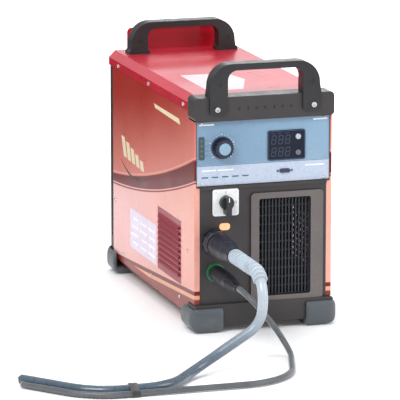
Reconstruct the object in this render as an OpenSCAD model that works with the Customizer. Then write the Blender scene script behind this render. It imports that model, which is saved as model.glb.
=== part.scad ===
// Inverter plasma cutting power source with torch and work leads.
// Frame: origin at the centre of the four undercarriage holes, on the underside of the base tray.
// +X is to the right seen from the front, +Y to the rear, +Z up. Units are millimetres.

/* [Case] */
// Width across the two side covers
case_w = 286; // [284:1:290]
// Depth from the front face of the bezel to the rear face
case_d = 600; // [590:5:620]
// Height of the top cover above the base underside
case_h = 458; // [456:1:462]
// Ground clearance below the base tray
ground = 15; // [12:1:18]
// Thickness of the cover sheet
sheet = 1.5; // [1.2:0.1:1.5]

/* [Handles] */
// Overall width of each carrying handle
handle_w = 232; // [224:2:240]
// Height of the handle above the top cover
handle_rise = 67; // [60:1:80]
// Depth of the handle bar from front to back
handle_depth = 32; // [26:1:34]

/* [Front panel] */
// Radius of the current knob
knob_r = 22; // [18:1:26]
// Push-button travel
button_travel = 1.5; // [0.5:0.1:2]
// Side length of the power switch plate
plate_side = 54; // [48:1:58]

/* [Grille] */
// Number of vertical bars in the front air grille
grille_bars = 14; // [6:1:16]
// Number of louvres in each side cover
louvre_count = 9; // [4:1:10]

/* [Leads] */
// Radius of the torch lead
torch_r = 10; // [7:0.5:11]
// Radius of the work lead
work_r = 6; // [4:0.5:6.5]
// Radius of the mains lead
mains_r = 8; // [6:0.5:9]

/* [Fan] */
// Number of fan blades
blade_count = 7; // [5:1:9]
// Outer radius of the fan rotor
fan_r = 74; // [66:1:76]

/* [Hidden] */
$fn = 48;

// main planes
front = -case_d / 2;
rear = case_d / 2;
side = case_w / 2;         // outer face of a side cover
side_in = side - sheet;    // inner face of a side cover
floor_z = -ground;
panel_in = rear - 26;      // inner and outer faces of the rear panel,
panel_out = rear - 24;     // which is recessed in the rear bezel
fit = 0.2;                 // gap round a part set in a hole

// front bezel
bezel_x = side + 2;        // half width of the bars
bezel_back = -262;
bar_y = front - 8;         // bars stand forward of the face
bar_bottom = 411;          // top bar
bar_top = case_h + 1;
sill_top = 42;             // top of the bottom bar
seat_z = [281, 410.5];     // control panel opening
face_x = side - 11.3;      // half width of the lower face

// centres on the front face: x, z
knob_at = [-86, 357];
display_at = [48, 355];
lights_at = [-128, 357];
switch_at = [-79, 247];
lamp_at = [-81, 198];
torch_at = [-104, 169];
work_at = [-100, 106];
up_at = [72, 371];
low_at = [72, 339];
mode_at = [45, 303];
// spans of the air grille
grille_x = [-10, 98];
grille_z = [52, 250];

// radii of round holes in the front face and rear panel
button_hole_r = 5.7;
switch_hole_r = 9;
torch_hole_r = 22;
work_hole_r = 15;
reg_hole_r = 7.2;
conn_hole_r = 14.2;
gland_hole_r = 16.2;
// half width and half height of oblong holes
display_hole = [36, 27];
mode_hole = [11.2, 4.2];
lamp_hole = [9.2, 5.2];

// centres on the rear: x, z
fan_at = [0, 190];
reg_at = [-104, 336];
conn_at = [70, 378];
gland_at = [112, 110];
stud_at = [-112, 70];

// screws and bolts
flange_screws = [[-230, 436], [10, 436], [230, 436]];                               // y, z
side_screws = [[-254, 143], [262, 143], [-200, 38], [0, 38], [200, 38]];            // y, z
panel_screws = [for (x = [-127.5, 127.5], z = [seat_z[0] + 4, seat_z[1] - 4]) [x, z]];
fan_screws = [for (x = [-78, 78], z = [-78, 78]) fan_at + [x, z]];                  // x, z
lug_bolt = [100, 436];                                                              // x, z
guard_bolt = [62, 424];                                                             // x, z
rear_handle_bolts = [for (x = [-104, 104], y = [rear - 62, rear - 40]) [x, y]];
foot_bolts = [[118, front + 20], [118, rear - 14]];                                 // x, y
undercarriage_holes = [[90, 200], [-90, 200], [-90, -200], [90, -200]];             // x, y

// ---------- helpers ----------
// cylinders along each axis; "at" holds the other two coordinates in axis order
module xcyl(r, x0, x1, at = [0, 0], fn = 32)
    translate([x0, at[0], at[1]]) rotate([0, 90, 0]) cylinder(r = r, h = x1 - x0, $fn = fn);
module ycyl(r, y0, y1, at = [0, 0], fn = 48)
    translate([at[0], y0, at[1]]) rotate([-90, 0, 0]) cylinder(r = r, h = y1 - y0, $fn = fn);
module zcyl(r, z0, z1, at = [0, 0], fn = 48)
    translate([at[0], at[1], z0]) cylinder(r = r, h = z1 - z0, $fn = fn);
module ycone(r1, r2, y0, y1, at)
    translate([at[0], y0, at[1]]) rotate([-90, 0, 0])
        cylinder(r1 = r1, r2 = r2, h = y1 - y0, $fn = 48);

// box from its spans along each axis
module box(x, y, z)
    translate([x[0], y[0], z[0]]) cube([x[1] - x[0], y[1] - y[0], z[1] - z[0]]);

// 2-D shape in x and z, pulled from y0 to y1
module pull_y(y0, y1) translate([0, y1, 0]) rotate([90, 0, 0]) linear_extrude(y1 - y0) children();
// 2-D shape in y and z, pulled from x0 to x1
module pull_x(x0, x1) translate([x0, 0, 0]) rotate([90, 0, 90]) linear_extrude(x1 - x0) children();

// rounded rectangle from its two spans
module rrect(x, z, r) {
    translate([x[0] + r, z[0]]) square([x[1] - x[0] - 2 * r, z[1] - z[0]]);
    translate([x[0], z[0] + r]) square([x[1] - x[0], z[1] - z[0] - 2 * r]);
    for (a = [x[0] + r, x[1] - r], b = [z[0] + r, z[1] - r]) translate([a, b]) circle(r = r, $fn = 32);
}
// the same from its centre and [half width, half height]
module pad(at, half, r)
    rrect([at[0] - half[0], at[0] + half[0]], [at[1] - half[1], at[1] + half[1]], r);

module both() { children(); mirror([1, 0, 0]) children(); }
module both_about(x) for (s = [0, 1]) translate([x, 0, 0]) mirror([s, 0, 0]) children();
// copies turned about the y axis line through "at"
module around(at, angles)
    for (a = angles) translate([at[0], 0, at[1]]) rotate([0, a, 0]) children();
// outline closed by its own mirror image in x = 0
function symmetric(half) =
    concat(half, [for (i = [len(half) - 1:-1:0]) [-half[i][0], half[i][1]]]);

// Round lead along a path whose corner i is blended with an arc of radius bends[i]
function unit(v) = v / norm(v);
function leg(path, i) = unit(path[i + 1] - path[i]);
function bend_angle(path, i) = acos(leg(path, i - 1) * leg(path, i));
// distance from a corner back to the start of its arc
function setback(path, bends, i) =
    (i == 0 || i == len(path) - 1) ? 0 : bends[i] * tan(bend_angle(path, i) / 2);
function inward(path, i) =
    unit(leg(path, i) - leg(path, i - 1) * (leg(path, i - 1) * leg(path, i)));
function bend_centre(path, bends, i) =
    path[i] - leg(path, i - 1) * setback(path, bends, i) + inward(path, i) * bends[i];
function perp(d) = abs(d[2]) < 0.9 ? unit(cross([0, 0, 1], d)) : unit(cross([1, 0, 0], d));

module in_frame(origin, x, y) {
    z = cross(x, y);
    multmatrix([
        [x[0], y[0], z[0], origin[0]],
        [x[1], y[1], z[1], origin[1]],
        [x[2], y[2], z[2], origin[2]],
        [0, 0, 0, 1]]) children();
}
// children with +z along d
module along(origin, d) in_frame(origin, perp(d), cross(d, perp(d))) children();
module tube_arc(path, bends, i, r, angle)
    in_frame(bend_centre(path, bends, i), -inward(path, i), leg(path, i - 1))
        rotate_extrude(angle = angle, $fn = 72) translate([bends[i], 0]) circle(r = r, $fn = 32);
module tube(path, bends, r) {
    last = len(path) - 2;
    // straight legs, slightly thinner and run 1 mm into each arc
    for (i = [0:last]) {
        before = i > 0 ? 1 : 0;
        after = i < last ? 1 : 0;
        along(path[i] + leg(path, i) * (setback(path, bends, i) - before), leg(path, i))
            cylinder(r = r - 0.04, h = norm(path[i + 1] - path[i]) - setback(path, bends, i)
                - setback(path, bends, i + 1) + before + after, $fn = 32);
    }
    for (i = [1:last]) tube_arc(path, bends, i, r, bend_angle(path, i));
}

// ---------- sheet metal ----------
cover_front = bezel_back + 0.2;
cover_bottom = sill_top + 0.4;    // beside the front bezel
cover_brow = bar_bottom - 0.4;    // under the bezel's top bar
cover_top = 441;
tray_front = -260;
tray_back = panel_out - 0.2;
tray_rim = 45.8;
// right half of each outline: x, z
tray_floor = [
    [side_in - 16, 0], [side_in - 0.1, 18], [side_in - 0.1, tray_rim],
    [side_in - 2.1, tray_rim], [side_in - 2.1, 18.7], [side_in - 16.9, 2]];
tray_end = [[side_in - 16.9, 1.9], [side_in - 2.1, 18.7], [side_in - 2.1, tray_rim]];
top_skirt = 428;
top_sheet = [
    [side - 12.5, case_h - sheet], [side + 0.1, case_h - 14.4], [side + 0.1, top_skirt],
    [side + 1.6, top_skirt], [side + 1.6, case_h - 13.8], [side - 11.9, case_h]];

module base_tray() color("firebrick") difference() {
    union() {
        pull_y(tray_front, tray_back) polygon(symmetric(tray_floor));
        for (y = [tray_front, tray_back - 2]) pull_y(y, y + 2) polygon(symmetric(tray_end));
        // ribs across the floor
        for (y = [-120, 0, 120]) box([-110, 110], [y - 4, y + 4], [1.9, 2.1]);
    }
    for (p = undercarriage_holes) zcyl(4.25, -1, 3, p, 48);
    for (s = side_screws) if (s[1] < 46) xcyl(2.2, -side - 2, side + 2, s);
}

louvre_y = [-201, -59];
louvre_z = 80;
louvre_pitch = 12;
// section of one pressed hood on the +X side: x, z from the slot
louvre_hood = [
    [side - 0.2, 6.4], [side + 1.2, 5.2], [side + 3.2, 1.4], [side + 3.8, -3.4],
    [side + 2.9, -3.4], [side + 2.3, 1], [side + 0.6, 4.3], [side - 0.2, 4.9]];
module louvres() for (i = [0:louvre_count - 1])
    translate([0, 0, louvre_z + i * louvre_pitch])
        pull_y(louvre_y[0], louvre_y[1]) polygon(louvre_hood);
module louvre_slots() for (i = [0:louvre_count - 1])
    translate([0, 0, louvre_z + i * louvre_pitch])
        box([side_in - 1, side + 0.05], [louvre_y[0] + 2, louvre_y[1] - 2], [-2, 3]);

// cover on the +X side
module side_cover() difference() {
    union() {
        pull_x(side_in, side) polygon([
            [front + 1, cover_bottom], [cover_front, cover_bottom], [cover_front, 30],
            [rear - 24.2, 30], [rear - 24.2, cover_top],
            [cover_front, cover_top], [cover_front, cover_brow], [front + 1, cover_brow]]);
        // front return: wide below, narrow to the full height
        box([side - 11, side_in + 0.1], [front + 1, front + 1 + sheet],
            [cover_bottom, cover_brow - 133]);
        box([side - 4, side_in + 0.1], [front + 1, front + 1 + sheet],
            [sill_top + 0.5, cover_brow]);
        // top return
        box([side - 12, side_in + 0.1], [-255, rear - 30], [cover_top - sheet, cover_top]);
        // rear return
        box([side - 10, side_in + 0.1], [panel_in - 0.1 - sheet, panel_in - 0.1], [60, 436]);
        louvres();
    }
    louvre_slots();
    for (s = concat(flange_screws, side_screws)) xcyl(2.2, side_in - 20, side + 2, s);
}
module side_cover_right() color("firebrick") side_cover();
module side_cover_left() color("firebrick") mirror([1, 0, 0]) side_cover();

module top_cover() color("crimson") difference() {
    pull_y(cover_front, rear) polygon(symmetric(top_sheet));
    for (s = flange_screws) xcyl(2.2, -side - 5, side + 5, s);
    for (p = rear_handle_bolts) zcyl(2.7, case_h - 5, case_h + 1, p, 24);
}

guard_top = case_h + 46;
module rear_guard() color("crimson") difference() {
    union() {
        pull_y(rear + 0.2, rear + 1.7) rrect([-104, 104], [408, guard_top], 10);
        box([-92, 92], [rear - 6, rear + 0.3], [guard_top - 1.5, guard_top]);
    }
    both() ycyl(2.7, rear - 2, rear + 3, guard_bolt, 24);
}

module rear_panel() color("firebrick") difference() {
    union() {
        box([-side_in + 4, side_in - 4], [panel_in, panel_out], [46, 440]);
        // earth stud with its nut
        ycyl(4, panel_out - 0.1, panel_out + 24, stud_at, 32);
        ycyl(7.5, panel_out - 0.1, panel_out + 6, stud_at, 6);
    }
    ycyl(fan_r + 4, panel_in - 1, panel_out + 1, fan_at, 72);
    ycyl(reg_hole_r, panel_in - 1, panel_out + 1, reg_at, 32);
    ycyl(conn_hole_r, panel_in - 1, panel_out + 1, conn_at, 32);
    ycyl(gland_hole_r, panel_in - 1, panel_out + 1, gland_at, 32);
    for (p = fan_screws) ycyl(2.4, panel_in - 1, panel_out + 1, p, 24);
    // exhaust slots above the fan
    for (z = [300:12:348]) box([-30, 30], [panel_in - 1, panel_out + 1], [z, z + 5]);
}

// ---------- mouldings ----------
module bezel_bar(z0, z1, r) pull_y(bar_y, bezel_back) rrect([-bezel_x, bezel_x], [z0, z1], r);
module bezel_hollows() {
    back = bezel_back + 1;
    box([-bezel_x + 3, bezel_x - 3], [bar_y + 4, back], [bar_bottom + 3, bar_top - 3]);
    box([-bezel_x + 3, bezel_x - 3], [bar_y + 4, back], [3.3, sill_top - 3]);
    box([-face_x + 3, face_x - 3], [front + 4, back], [sill_top - 4, seat_z[0] - 4]);
    box([-side + 7.3, side - 7.3], [front + 8, back], [seat_z[0] - 6, bar_bottom + 4]);
}
module bezel_openings() {
    // control panel seat with a ledge
    box([-side + 4.5, side - 4.5], [front - 10, front + 4.2], seat_z);
    box([-side + 12, side - 12], [front, front + 9], [seat_z[0] + 7, seat_z[1] - 6]);
    // lower face
    ycyl(switch_hole_r, front - 1, front + 6, switch_at);
    pull_y(front - 1, front + 6) pad(lamp_at, lamp_hole, 5);
    ycyl(torch_hole_r, front - 1, front + 6, torch_at);
    ycyl(work_hole_r, front - 1, front + 6, work_at);
    pull_y(front - 6, front + 6) rrect(grille_x, grille_z, 5);
}
module front_bezel() color("#2b2b2b") difference() {
    union() {
        bezel_bar(bar_bottom, bar_top, 9);
        bezel_bar(0.3, sill_top, 5);
        // lower and upper faces between the bars
        box([-face_x, face_x], [front, bezel_back], [sill_top - 2, 280]);
        box([-side + 4.3, side - 4.3], [front, bezel_back], [278, bar_bottom + 2]);
        // raised frame round the air grille
        pull_y(front - 5, front + 1)
            rrect([grille_x[0] - 17, grille_x[1] + 26], [grille_z[0] - 12, grille_z[1] + 12], 8);
        // lip under the control panel
        box([-face_x, face_x], [front - 3, front + 1], [274, 280]);
    }
    bezel_hollows();
    bezel_openings();
    // screw and bolt holes
    both() ycyl(3.3, bar_y - 1, bar_y + 6, lug_bolt, 24);
    for (p = panel_screws) ycyl(1.9, front - 1, front + 12, p, 24);
    both() zcyl(3.4, -1, 5, foot_bolts[0], 32);
    // row of round dimples along the top bar
    for (x = [-54:18:54]) ycyl(3, bar_y - 1, bar_y + 1.5, [x, 435], 24);
}

// right half: x, z
rear_outline = [
    [side_in - 3, 0.3], [side_in, 4], [side_in, case_h - 16.6], [side_in - 13.4, case_h - 2]];
module rear_bezel() color("#2b2b2b") difference() {
    pull_y(rear - 24, rear) polygon(symmetric(rear_outline));
    pull_y(rear - 25, rear + 1) rrect([-side_in + 7, side_in - 7], [48, 404], 8);
    both() zcyl(3.4, -1, 49, foot_bolts[1], 32);
    both() ycyl(2.2, rear - 5, rear + 1, guard_bolt, 24);
    // shallow groove down each side
    both() box([side_in - 1.2, side_in + 1], [rear - 14, rear - 8], [60, 400]);
}

front_handle_y = bar_y - 5.2;
handle_half = handle_w / 2;
handle_top = case_h + handle_rise;
handle_corner = 44;        // outer corner radius
// arch seen from the front, cut off below the top cover
module handle_arch() difference() {
    centre_x = handle_half - 47;
    shoulder_z = handle_top - handle_corner;
    union() {
        polygon([
            [-handle_half, case_h + 1], [handle_half, case_h + 1],
            [handle_half - 3, shoulder_z], [-handle_half + 3, shoulder_z]]);
        for (s = [-1, 1]) translate([s * centre_x, shoulder_z]) circle(r = handle_corner, $fn = 48);
        translate([-centre_x, shoulder_z]) square([2 * centre_x, handle_corner]);
    }
    rrect([-handle_half + 38, handle_half - 38], [case_h - 40, handle_top - 13], 20);
    translate([-200, handle_top - 166]) square([400, 100]);
}
// front lugs reach down over the bezel
module handle_lugs(y0) both() pull_y(y0, y0 + 5)
    rrect([handle_half - 38, handle_half - 1], [case_h - 34, case_h + 12], 8);
// rear feet stand on the top cover
module handle_feet(y0) both() pull_y(y0, y0 + handle_depth) polygon([
    [handle_half - 42, case_h], [handle_half + 3, case_h], [handle_half + 3, case_h + 5],
    [handle_half - 1, case_h + 9], [handle_half - 38, case_h + 9], [handle_half - 42, case_h + 5]]);
module handle(y0, lugs) difference() {
    union() {
        pull_y(y0, y0 + handle_depth) handle_arch();
        if (lugs) handle_lugs(y0);
        else handle_feet(y0);
    }
    if (lugs) both() ycyl(3.3, y0 - 1, y0 + 7, lug_bolt, 24);
    else for (p = rear_handle_bolts) zcyl(2.7, case_h - 1, case_h + 20, p, 24);
    // shallow round recess in each leg
    both() ycyl(5, y0 - 1, y0 + 1.5, [handle_half - 20, case_h + 26], 24);
}
module front_handle() color("#1d1d1f") handle(front_handle_y, true);
module rear_handle() color("#1d1d1f") handle(rear - 67, false);

boot_x = 154;              // outer side
boot_top = 41;
// corner boot on the +X side: rounded block less the case corner
module boot(at_front) {
    y0 = at_front ? front - 17 : rear - 62;
    y1 = at_front ? front + 62 : rear + 9;
    case_y = at_front ? [front - 8.2, front + 100] : [rear - 100, rear + 0.2];
    bolt = at_front ? foot_bolts[0] : foot_bolts[1];
    difference() {
        intersection() {
            box([86, boot_x], [y0, y1], [floor_z, boot_top]);
            pull_y(y0 - 1, y1 + 1) union() {
                rrect([50, boot_x], [floor_z, boot_top], 24);
                translate([60, floor_z]) square([60, 20]);
            }
            translate([0, 0, floor_z - 1]) linear_extrude(80) union() {
                rrect([40, boot_x], [y0, y1], 22);
                translate([40, at_front ? y0 + 30 : y0]) square([boot_x - 40, y1 - y0 - 30]);
            }
            pull_x(60, 160) rrect([y0, y1], [floor_z, boot_top], 18);
        }
        box([0, bezel_x + 0.2], case_y, [-0.1, 60]);
        zcyl(3.4, floor_z - 1, 1, bolt, 32);
        zcyl(7, floor_z - 1, floor_z + 6, bolt, 32);
    }
}
module corner_feet() color("#3a4042") {
    both() boot(true);
    both() boot(false);
}

module front_grille() color("#17181a") {
    difference() {
        pull_y(front + 4, front + 8)
            rrect([grille_x[0] - 6, grille_x[1] + 6], [grille_z[0] - 4, grille_z[1] + 8], 4);
        pull_y(front + 3, front + 9)
            rrect([grille_x[0] + 3, grille_x[1] - 3], [grille_z[0] + 3, grille_z[1] - 3], 3);
    }
    // vertical bars, with cross bars behind
    pitch = (grille_x[1] - grille_x[0] - 4) / (grille_bars + 1);
    for (i = [1:grille_bars]) {
        x = grille_x[0] + 2 + i * pitch;
        box([x - 1.5, x + 1.5], [front + 1, front + 6], [grille_z[0] + 2, grille_z[1] - 2]);
    }
    for (i = [1:10]) {
        z = grille_z[0] + i * 18;
        box([grille_x[0] + 2, grille_x[1] - 2], [front + 4, front + 7], [z - 1.5, z + 1.5]);
    }
}

// ---------- control panel ----------
board_y = front + 13;      // front of the display board
tact_y = front + 9.5;      // front of the tact switches
cap_r = 12;                // disc on the current knob
light_points = [for (i = [0:3]) lights_at + [0, i * 10 - 15]];

module control_panel() color("#8fb0c8") difference() {
    box([-side + 4.8, side - 4.8], [front + 2, front + 4], [seat_z[0] + 0.3, seat_z[1] - 0.3]);
    ycyl(4.7, front, front + 6, knob_at, 32);
    pull_y(front, front + 6) pad(display_at, display_hole, 3);
    pull_y(front, front + 6) pad(lights_at, [4, 20], 3);
    pull_y(front, front + 6) pad(mode_at, mode_hole, 4);
    for (p = panel_screws) ycyl(1.9, front, front + 6, p, 24);
}
module display_window() color("#141c2b") difference() {
    union() {
        pull_y(front - 0.5, front + 2) pad(display_at, display_hole + [3, 3], 4);
        pull_y(front + 1.9, front + 4) pad(display_at, display_hole - [fit, fit], 3);
    }
    for (b = [up_at, low_at]) ycyl(button_hole_r, front - 2, front + 6, b, 32);
}
module display_board() {
    color("darkgreen") difference() {
        box([-126, 126], [board_y, board_y + 1.6], [seat_z[0] + 9, seat_z[1] - 9]);
        ycyl(9.2, front + 12, front + 16, knob_at, 32);
    }
    // digit block
    color("black") box([display_at[0] - 32, display_at[0] + 14], [front + 5, board_y + 0.1],
        [display_at[1] - 20, display_at[1] + 20]);
    // tact switches
    color("silver") for (b = [up_at, low_at, mode_at])
        box([b[0] - 3, b[0] + 3], [tact_y, board_y + 0.1], [b[1] - 3, b[1] + 3]);
    // connector
    color("black") box([-40, 0], [board_y + 1.5, front + 24], [300, 310]);
}
module status_lights() {
    color("#203040") difference() {
        pull_y(front + 0.8, front + 2) pad(lights_at, [6, 23], 3);
        for (p = light_points) ycyl(2.1, front, front + 3, p, 24);
    }
    color("limegreen") for (p = light_points) ycyl(2, front + 0.4, board_y - 0.1, p, 24);
}
module current_knob() color("#23283a") difference() {
    union() {
        ycyl(knob_r, front - 5, front + 0.5, knob_at, 64);
        ycyl(knob_r - 4.5, front - 19, front - 4.9, knob_at, 64);
        // grip ribs
        around(knob_at, [0:20:340]) ycyl(1.6, front - 18.5, front - 4.9, [knob_r - 4.6, 0], 24);
    }
    ycyl(cap_r + fit, front - 20, front - 16, knob_at, 48);
    ycyl(3, front - 16.1, front + 1, knob_at, 32);
}
module knob_cap() color("#9fc0d6") union() {
    ycyl(cap_r, front - 20.2, front - 16.05, knob_at, 48);
    // pointer line on the cap
    box([knob_at[0] - 1, knob_at[0] + 1], [front - 20.8, front - 20.1],
        [knob_at[1] + 2, knob_at[1] + 11]);
    // shaft into the potentiometer
    ycyl(2.98, front - 16.1, front + 14, knob_at, 32);
}
module potentiometer() color("#8a8f96") difference() {
    union() {
        ycyl(4.5, front + 1, front + 8.1, knob_at, 32);
        ycyl(9, front + 8, front + 24, knob_at, 48);
        ycyl(7.5, front + 4.05, front + 6.5, knob_at, 6);
        // terminals
        for (x = [-5, 0, 5]) box([knob_at[0] + x - 0.8, knob_at[0] + x + 0.8],
            [front + 17, front + 18], [knob_at[1] - 14, knob_at[1] - 6]);
    }
    ycyl(3.05, front, front + 15, knob_at, 32);
}

// stem that stops one travel short of its tact switch
module button_stem(y0, at) ycyl(2.5, y0, tact_y - button_travel - 0.1, at, 24);
module round_button(at) {
    ycyl(button_hole_r - fit, front - 2.6, front + 4.2, at, 32);
    button_stem(front + 4.1, at);
}
module upper_button() color("#dfe6ee") round_button(up_at);
module lower_button() color("#dfe6ee") round_button(low_at);
module mode_button() color("#26324a") union() {
    pull_y(front - 0.6, front + 4.6) pad(mode_at, mode_hole - [fit, fit], 3.8);
    button_stem(front + 4.5, mode_at);
}

// ---------- power switch ----------
wafer_pitch = 18;          // spacing of the three switch wafers

module switch_plate() color("#e8ebee") difference() {
    half = plate_side / 2;
    pull_y(front - 3, front) pad(switch_at, [half, half], 5);
    ycyl(5.5, front - 4, front + 1, switch_at, 32);
    for (x = [-1, 1], z = [-1, 1])
        ycyl(1.8, front - 4, front - 1.5, switch_at + [x, z] * (half - 7), 24);
}
module switch_knob() color("#2e3134") union() {
    ycyl(14, front - 14, front - 3.2, switch_at, 48);
    // grip bar, longer below the shaft than above
    pull_y(front - 26, front - 3.2)
        rrect([switch_at[0] - 5.5, switch_at[0] + 5.5], [switch_at[1] - 25, switch_at[1] + 15], 5);
    ycyl(3.95, front - 3.3, front + 40, switch_at, 32);
}
module switch_body() color("#3b3f44") difference() {
    union() {
        ycyl(switch_hole_r - fit, front + 0.2, front + 6.1, switch_at, 32);
        for (i = [0:2]) pull_y(front + 6 + i * wafer_pitch, front + 22 + i * wafer_pitch)
            pad(switch_at, [24, 24], 6);
        pull_y(front + 6, front + 60) pad(switch_at, [21, 21], 5);
        // terminals down both sides
        for (i = [0:2], z = [-12, 0, 12]) both_about(switch_at[0])
            box([23, 28], [front + 10 + i * wafer_pitch, front + 18 + i * wafer_pitch],
                [switch_at[1] + z - 4, switch_at[1] + z + 4]);
    }
    ycyl(4, front - 1, front + 50, switch_at, 32);
}
module pilot_lamp() color("#ff9a5c") union() {
    pull_y(front - 3, front) pad(lamp_at, [11, 7], 6.5);
    pull_y(front - 0.1, front + 18) pad(lamp_at, lamp_hole - [fit, fit], 4.8);
}

// ---------- torch connection ----------
torch_plug_end = front - 140;
torch_neck_r = 18;         // part of the plug inside the lock ring

module torch_socket() color("#303338") difference() {
    union() {
        ycyl(27, front - 5, front, torch_at, 64);
        ycyl(torch_hole_r - fit, front - 0.1, front + 40, torch_at, 48);
        around(torch_at, [30]) ycyl(26, front + 4.1, front + 10, [0, 0], 6);
        ycyl(8, front + 39.9, front + 50, torch_at, 32);
    }
    ycyl(14, front - 6, front + 34, torch_at, 48);
    ycyl(4, front + 33, front + 51, torch_at, 24);
    around(torch_at, [45:90:315]) ycyl(1.8, front - 6, front - 2, [24, 0], 24);
}
module torch_plug() color("#1b1d21") difference() {
    union() {
        ycyl(13.9, front - 5.5, front + 28, torch_at, 48);
        ycyl(torch_neck_r, front - 34, front - 5.4, torch_at, 48);
        ycyl(22, front - 96, front - 33.9, torch_at, 48);
        for (i = [0:5]) ycyl(23, front - 90 + i * 9, front - 86 + i * 9, torch_at, 48);
        ycone(16, 22, torch_plug_end, front - 95.9, torch_at);
    }
    ycyl(torch_r + 0.4, torch_plug_end - 1, front - 60, torch_at, 32);
    ycyl(9, front - 61, front + 29, torch_at, 32);
}
module torch_lock_ring() color("#4a4e55") difference() {
    union() {
        ycyl(25, front - 30, front - 8, torch_at, 48);
        around(torch_at, [0:30:330]) ycyl(2.4, front - 29, front - 9, [24.6, 0], 24);
    }
    ycyl(torch_neck_r + 0.06, front - 31, front - 7, torch_at, 48);
}

// torch lead: straight out of the plug, down to the floor, then round to the left
torch_lead_z = floor_z + torch_r + 1;
torch_drop = 185;                 // plug end to the corner where the lead turns down
strap_dir = [-1, 0, 0];           // stretch where the two leads lie strapped together
tail_dir = unit([-0.629, 0.777, 0]);  // last stretch, turning back along the floor
tail_length = 170;
tail_corner = [-467, -718, torch_lead_z];
torch_path = [
    [torch_at[0], torch_plug_end + 70, torch_at[1]],
    [torch_at[0], torch_plug_end - torch_drop, torch_at[1]],
    [-108, -612, 74],
    [-240, -615, torch_lead_z],
    [-320, -718, torch_lead_z],
    tail_corner,
    tail_corner + tail_dir * tail_length];
torch_bends = [0, 54, 54, 110, 110, 110, 0];
module torch_lead() color("#6c7f90") tube(torch_path, torch_bends, torch_r);

// ribbed sleeve: a straight part, then 40 degrees of the lead's first bend
relief_length = torch_drop - setback(torch_path, torch_bends, 1);
module relief_bend_ribs() {
    ahead = leg(torch_path, 0);
    toward = inward(torch_path, 1);
    bend_r = torch_bends[1];
    for (a = [2:8.5:38])
        along(bend_centre(torch_path, torch_bends, 1) - toward * bend_r * cos(a)
            + ahead * bend_r * sin(a), ahead * cos(a) + toward * sin(a))
            translate([0, 0, -1.6]) cylinder(r = 15 - a * 0.02, h = 3.2, $fn = 32);
}
module torch_strain_relief() color("#b9c6d0") difference() {
    union() {
        tube_arc(torch_path, torch_bends, 1, 13.1, 40);
        ycyl(13.16, torch_plug_end - relief_length - 0.5, torch_plug_end, torch_at, 32);
        ycyl(14.8, torch_plug_end - 3, torch_plug_end, torch_at, 32);
        for (s = [8:8:relief_length - 4])
            ycyl(15.8 - s * 0.006, torch_plug_end - s - 1.6, torch_plug_end - s + 1.6,
                torch_at, 32);
        relief_bend_ribs();
    }
    tube([for (i = [0:2]) torch_path[i]], [0, torch_bends[1], 0], torch_r + 0.05);
    ycyl(30, torch_plug_end - 0.05, torch_plug_end + 20, torch_at, 32);
}

// ---------- work connection ----------
work_plug_end = front - 150;

module work_socket() difference() {
    color("#2f7a46") union() {
        ycyl(19, front - 5, front, work_at, 48);
        ycyl(work_hole_r - fit, front - 0.1, front + 30, work_at, 48);
        ycyl(18, front + 4.1, front + 9, work_at, 6);
    }
    ycyl(6.6, front - 6, front + 24, work_at, 32);
}
module work_plug() color("#17181b") difference() {
    union() {
        ycyl(6.5, front - 6, front + 22, work_at, 32);
        ycyl(15.5, front - 88, front - 5.2, work_at, 48);
        for (i = [0:6]) ycyl(16.6, front - 84 + i * 10, front - 79 + i * 10, work_at, 48);
        ycone(8.6, 15.5, work_plug_end, front - 87.9, work_at);
    }
    ycyl(work_r + 0.3, work_plug_end - 1, front - 60, work_at, 32);
}

// work lead: joins the torch lead and lies beside it to the end
work_lead_z = floor_z + work_r + 1;
lead_gap = torch_r + work_r + 0.5;    // between the two centre lines
corner_shift = lead_gap * tan(acos(strap_dir * tail_dir) / 2);
work_corner = [tail_corner[0], tail_corner[1], work_lead_z]
    + perp(strap_dir) * lead_gap + strap_dir * corner_shift;
work_path = [
    [work_at[0], work_plug_end + 80, work_at[1]],
    [work_at[0], work_plug_end - 80, work_at[1]],
    [-6, -486, work_lead_z],
    [-84, work_corner[1], work_lead_z],
    work_corner,
    work_corner + tail_dir * (tail_length - corner_shift)];
work_bends = [0, 45, 45, 130, torch_bends[5] + lead_gap, 0];
module work_lead() color("#2a2f35") tube(work_path, work_bends, work_r);

// strap round both leads; its section has +x toward the work lead and +y up
module at_work_lead() translate([lead_gap, work_r - torch_r]) children();
module strap_outline(thickness) {
    reach = torch_r + thickness;
    circle(r = reach, $fn = 32);
    at_work_lead() circle(r = work_r + thickness, $fn = 32);
    polygon([[0, -reach], [0, reach],
        [lead_gap, 2 * work_r - torch_r + thickness], [lead_gap, -reach]]);
}
module lead_strap() color("#111214") difference() {
    along(torch_path[4] + strap_dir * 66, strap_dir) linear_extrude(16) difference() {
        strap_outline(2);
        circle(r = torch_r + 0.05, $fn = 32);
        at_work_lead() circle(r = work_r + 0.05, $fn = 32);
    }
    // nothing below the floor
    box([-600, 300], [-900, 0], [floor_z - 10, floor_z]);
}

// ---------- fan ----------
fan_y0 = panel_in - 38.2;
fan_y1 = panel_in - 0.2;

module fan_frame() color("#222426") difference() {
    pull_y(fan_y0, fan_y1) pad(fan_at, [86, 86], 8);
    difference() {
        ycyl(fan_r + 3, fan_y0 - 1, fan_y1 + 1, fan_at, 72);
        // motor cup, its three struts and the spindle
        ycyl(30, fan_y0, fan_y0 + 5, fan_at, 48);
        around(fan_at, [30, 150, 270]) box([0, fan_r + 5], [fan_y0, fan_y0 + 5], [-5, 5]);
        ycyl(4, fan_y0 + 4, fan_y0 + 30, fan_at, 32);
    }
    for (p = fan_screws) ycyl(2.4, fan_y0 - 1, fan_y1 + 1, p, 24);
}
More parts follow.
